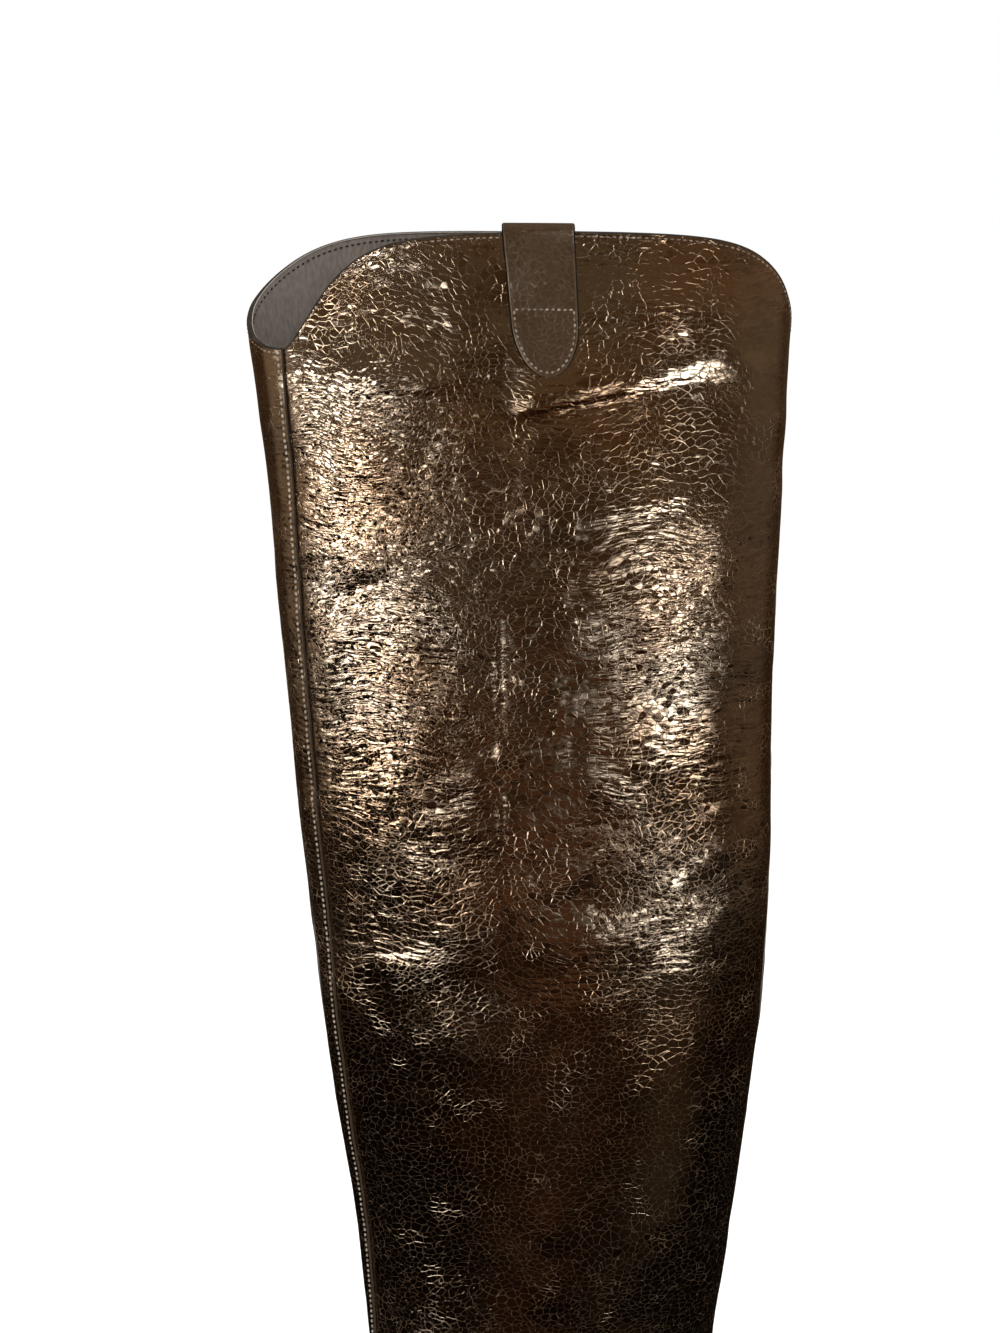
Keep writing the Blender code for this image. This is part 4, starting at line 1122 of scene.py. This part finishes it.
dress(leather["outer"]["piece"], "leather", "crackled_leather", "upper")
dress(leather["inner"]["piece"], "leather", "crackled_leather", "upper")
dress(lining["outer"]["piece"], "lining", "insole_lining")
dress(lining["inner"]["piece"], "lining", "insole_lining")
dress(rimPaint, "edge", "crackled_leather")
dress(rimPiping, "piping", "insole_lining")
dress(threads, "thread", "crackled_leather")
dress(paleThreads, "paleThread", "crackled_leather")
dress(darkThreads, "darkThread", "insole_lining")
dress(insole, "lining", "insole_lining", "insole")
dress(outsole, "sole", "sole_rubber", "outsole")
dress(heelBlock, "heel", "heel_cover", "heel_block")
dress(topPiece, "rubber", "top_piece_rubber", "heel_top_piece")
dress(strapPiece, "strap", "strap_leather", "pull_strap")
print("finishes on")

# studio: pale floor, white behind, one soft light overhead; the floor in metres, the light in millimetres
white = (1.0, 1.0, 1.0, 1.0)
studio = {
    "floor": {"Base Color": (0.6, 0.6, 0.6, 1.0), "Roughness": 0.9, "Emission Strength": 0.95},
    # the floor glows evenly white; shade and shadeReach set the painted shade round the boot
    "floorReach": 40.0, "shade": (0.42, 0.42, 0.42, 1.0), "shadeReach": (0.12, 0.42),
    "lightPlace": (0.0, 300.0, 1900.0), "lightTarget": (0.0, 0.0, 300.0),
    "lightSize": 1400.0, "lightPower": 22.0,
}


def floorGlowPaintedShade(w, place):  # painted shade: the floor's glow is a little darker round the boot, so that its shadow shows
    away = place.vector("LENGTH", out=1)
    return {"Emission Color": away.step(*studio["shadeReach"]).mix(studio["shade"], white)}


def makeStudio():
    light = bpy.data.lights.new("overhead", "AREA")
    light.shape, light.size, light.energy = "SQUARE", studio["lightSize"] * mm, studio["lightPower"]
    lamp = bpy.data.objects.new("overhead", light)
    lamp.location = Vector(studio["lightPlace"]) * mm
    aim = Vector(studio["lightTarget"]) * mm - lamp.location
    lamp.rotation_euler = aim.to_track_quat("-Z", "Y").to_euler()
    reach = studio["floorReach"]
    corners = [(-reach, -reach, 0), (reach, -reach, 0), (reach, reach, 0), (-reach, reach, 0)]
    mesh = bpy.data.meshes.new("paleFloor")
    mesh.from_pydata(corners, [], [(0, 1, 2, 3)])
    mesh.materials.append(newFinish("paleFloor", studio["floor"], floorGlowPaintedShade))
    floor = bpy.data.objects.new("paleFloor", mesh)
    for thing in (lamp, floor):
        bpy.context.scene.collection.objects.link(thing)
        thing.visible_glossy = False


# the room as the leather mirrors it: soft boxes, in degrees round from the camera and up from eye level
room = {
    "boxes": [  # angle towards the toe, half width, top, bottom, soft bottom, strength, colour
        (40.0, 21.0, -7.6, -10.8, 4.0, 17.0, (0.94, 1.0, 1.06)),
        (31.0, 11.0, -9.5, -12.0, 4.0, 13.0, (0.94, 1.0, 1.06)),
        (-29.0, 13.0, -11.6, -12.9, 3.0, 27.0, (0.94, 1.0, 1.06)),
        (180.0, 9.0, -9.0, -22.0, 4.0, 3.0, (1.0, 0.98, 0.94)),
        (0.0, 8.0, -14.0, -34.0, 6.0, 0.03, (1.0, 0.42, 0.22)),
        (-4.0, 8.0, -15.5, -21.5, 4.0, 0.10, (1.0, 0.46, 0.22)),
        (-34.0, 14.0, -17.0, -36.0, 6.0, 0.035, (1.0, 0.78, 0.52)),
        (80.0, 24.0, 20.0, -18.0, 9.0, 0.24, (1.0, 0.86, 0.7)),
        (-80.0, 24.0, 20.0, -18.0, 9.0, 0.085, (1.0, 0.9, 0.78)),
    ],
    "soft": 28.0, "softTop": 2.4,
    "heights": [  # glow of the walls from straight down, 0, to straight up, 1
        (0.0, (0.004, 0.003, 0.002, 1.0)), (0.24, (0.005, 0.0032, 0.002, 1.0)),
        (0.30, (0.012, 0.0075, 0.004, 1.0)), (0.35, (0.031, 0.0185, 0.0092, 1.0)),
        (0.41, (0.052, 0.030, 0.0145, 1.0)), (0.46, (0.082, 0.0505, 0.0265, 1.0)),
        (0.505, (0.145, 0.106, 0.07, 1.0)), (1.0, (0.2, 0.165, 0.13, 1.0)),
    ],
}


def makeWorld():  # white to the camera; for light and reflections the dim room, plus its soft boxes
    world = bpy.data.worlds.new("studioRoom")
    bpy.context.scene.world = world
    world.use_nodes = True
    tree = world.node_tree
    tree.nodes.clear()
    w = Wire(tree)
    direction = w.node("ShaderNodeTexCoord", out=0)
    height = direction.part(2)
    ahead = direction.vector("DOT_PRODUCT", tuple(viewAhead), out=1)
    near = direction.vector("DOT_PRODUCT", tuple(viewNear), out=1)
    turn = w.maths("ARCTAN2", ahead, near) * math.degrees(1.0)
    climb = w.maths("ARCSINE", height) * math.degrees(1.0)
    tone = w.node("ShaderNodeValToRGB", {"stops": room["heights"]}, {"Fac": height * 0.5 + 0.5})
    for middle, half, top, bottom, softBottom, strength, colour in room["boxes"]:
        apart = w.node("ShaderNodeMath", {"operation": "WRAP"}, {0: turn - middle, 1: 180.0, 2: -180.0})
        inside = w.maths("ABSOLUTE", apart).step(half + room["soft"] / 2, half - room["soft"] / 2)
        inside = inside * climb.step(top + room["softTop"] / 2, top - room["softTop"] / 2)
        inside = inside * climb.step(bottom - softBottom / 2, bottom + softBottom / 2)
        box = w.node("ShaderNodeCombineXYZ", {}, dict(enumerate(colour)))
        tone = tone.vector("ADD", box.vector("SCALE", scale=inside * strength))
    seen = w.node("ShaderNodeLightPath", out=0)
    surface = w.node("ShaderNodeBackground", {}, {"Color": seen.mix(tone, white), "Strength": 1.0})
    last = tree.nodes.new("ShaderNodeOutputWorld")
    tree.links.new(surface.socket, last.inputs["Surface"])


makeStudio()
makeWorld()
bpy.context.scene.view_settings.view_transform = "Standard"
print("studio lit")
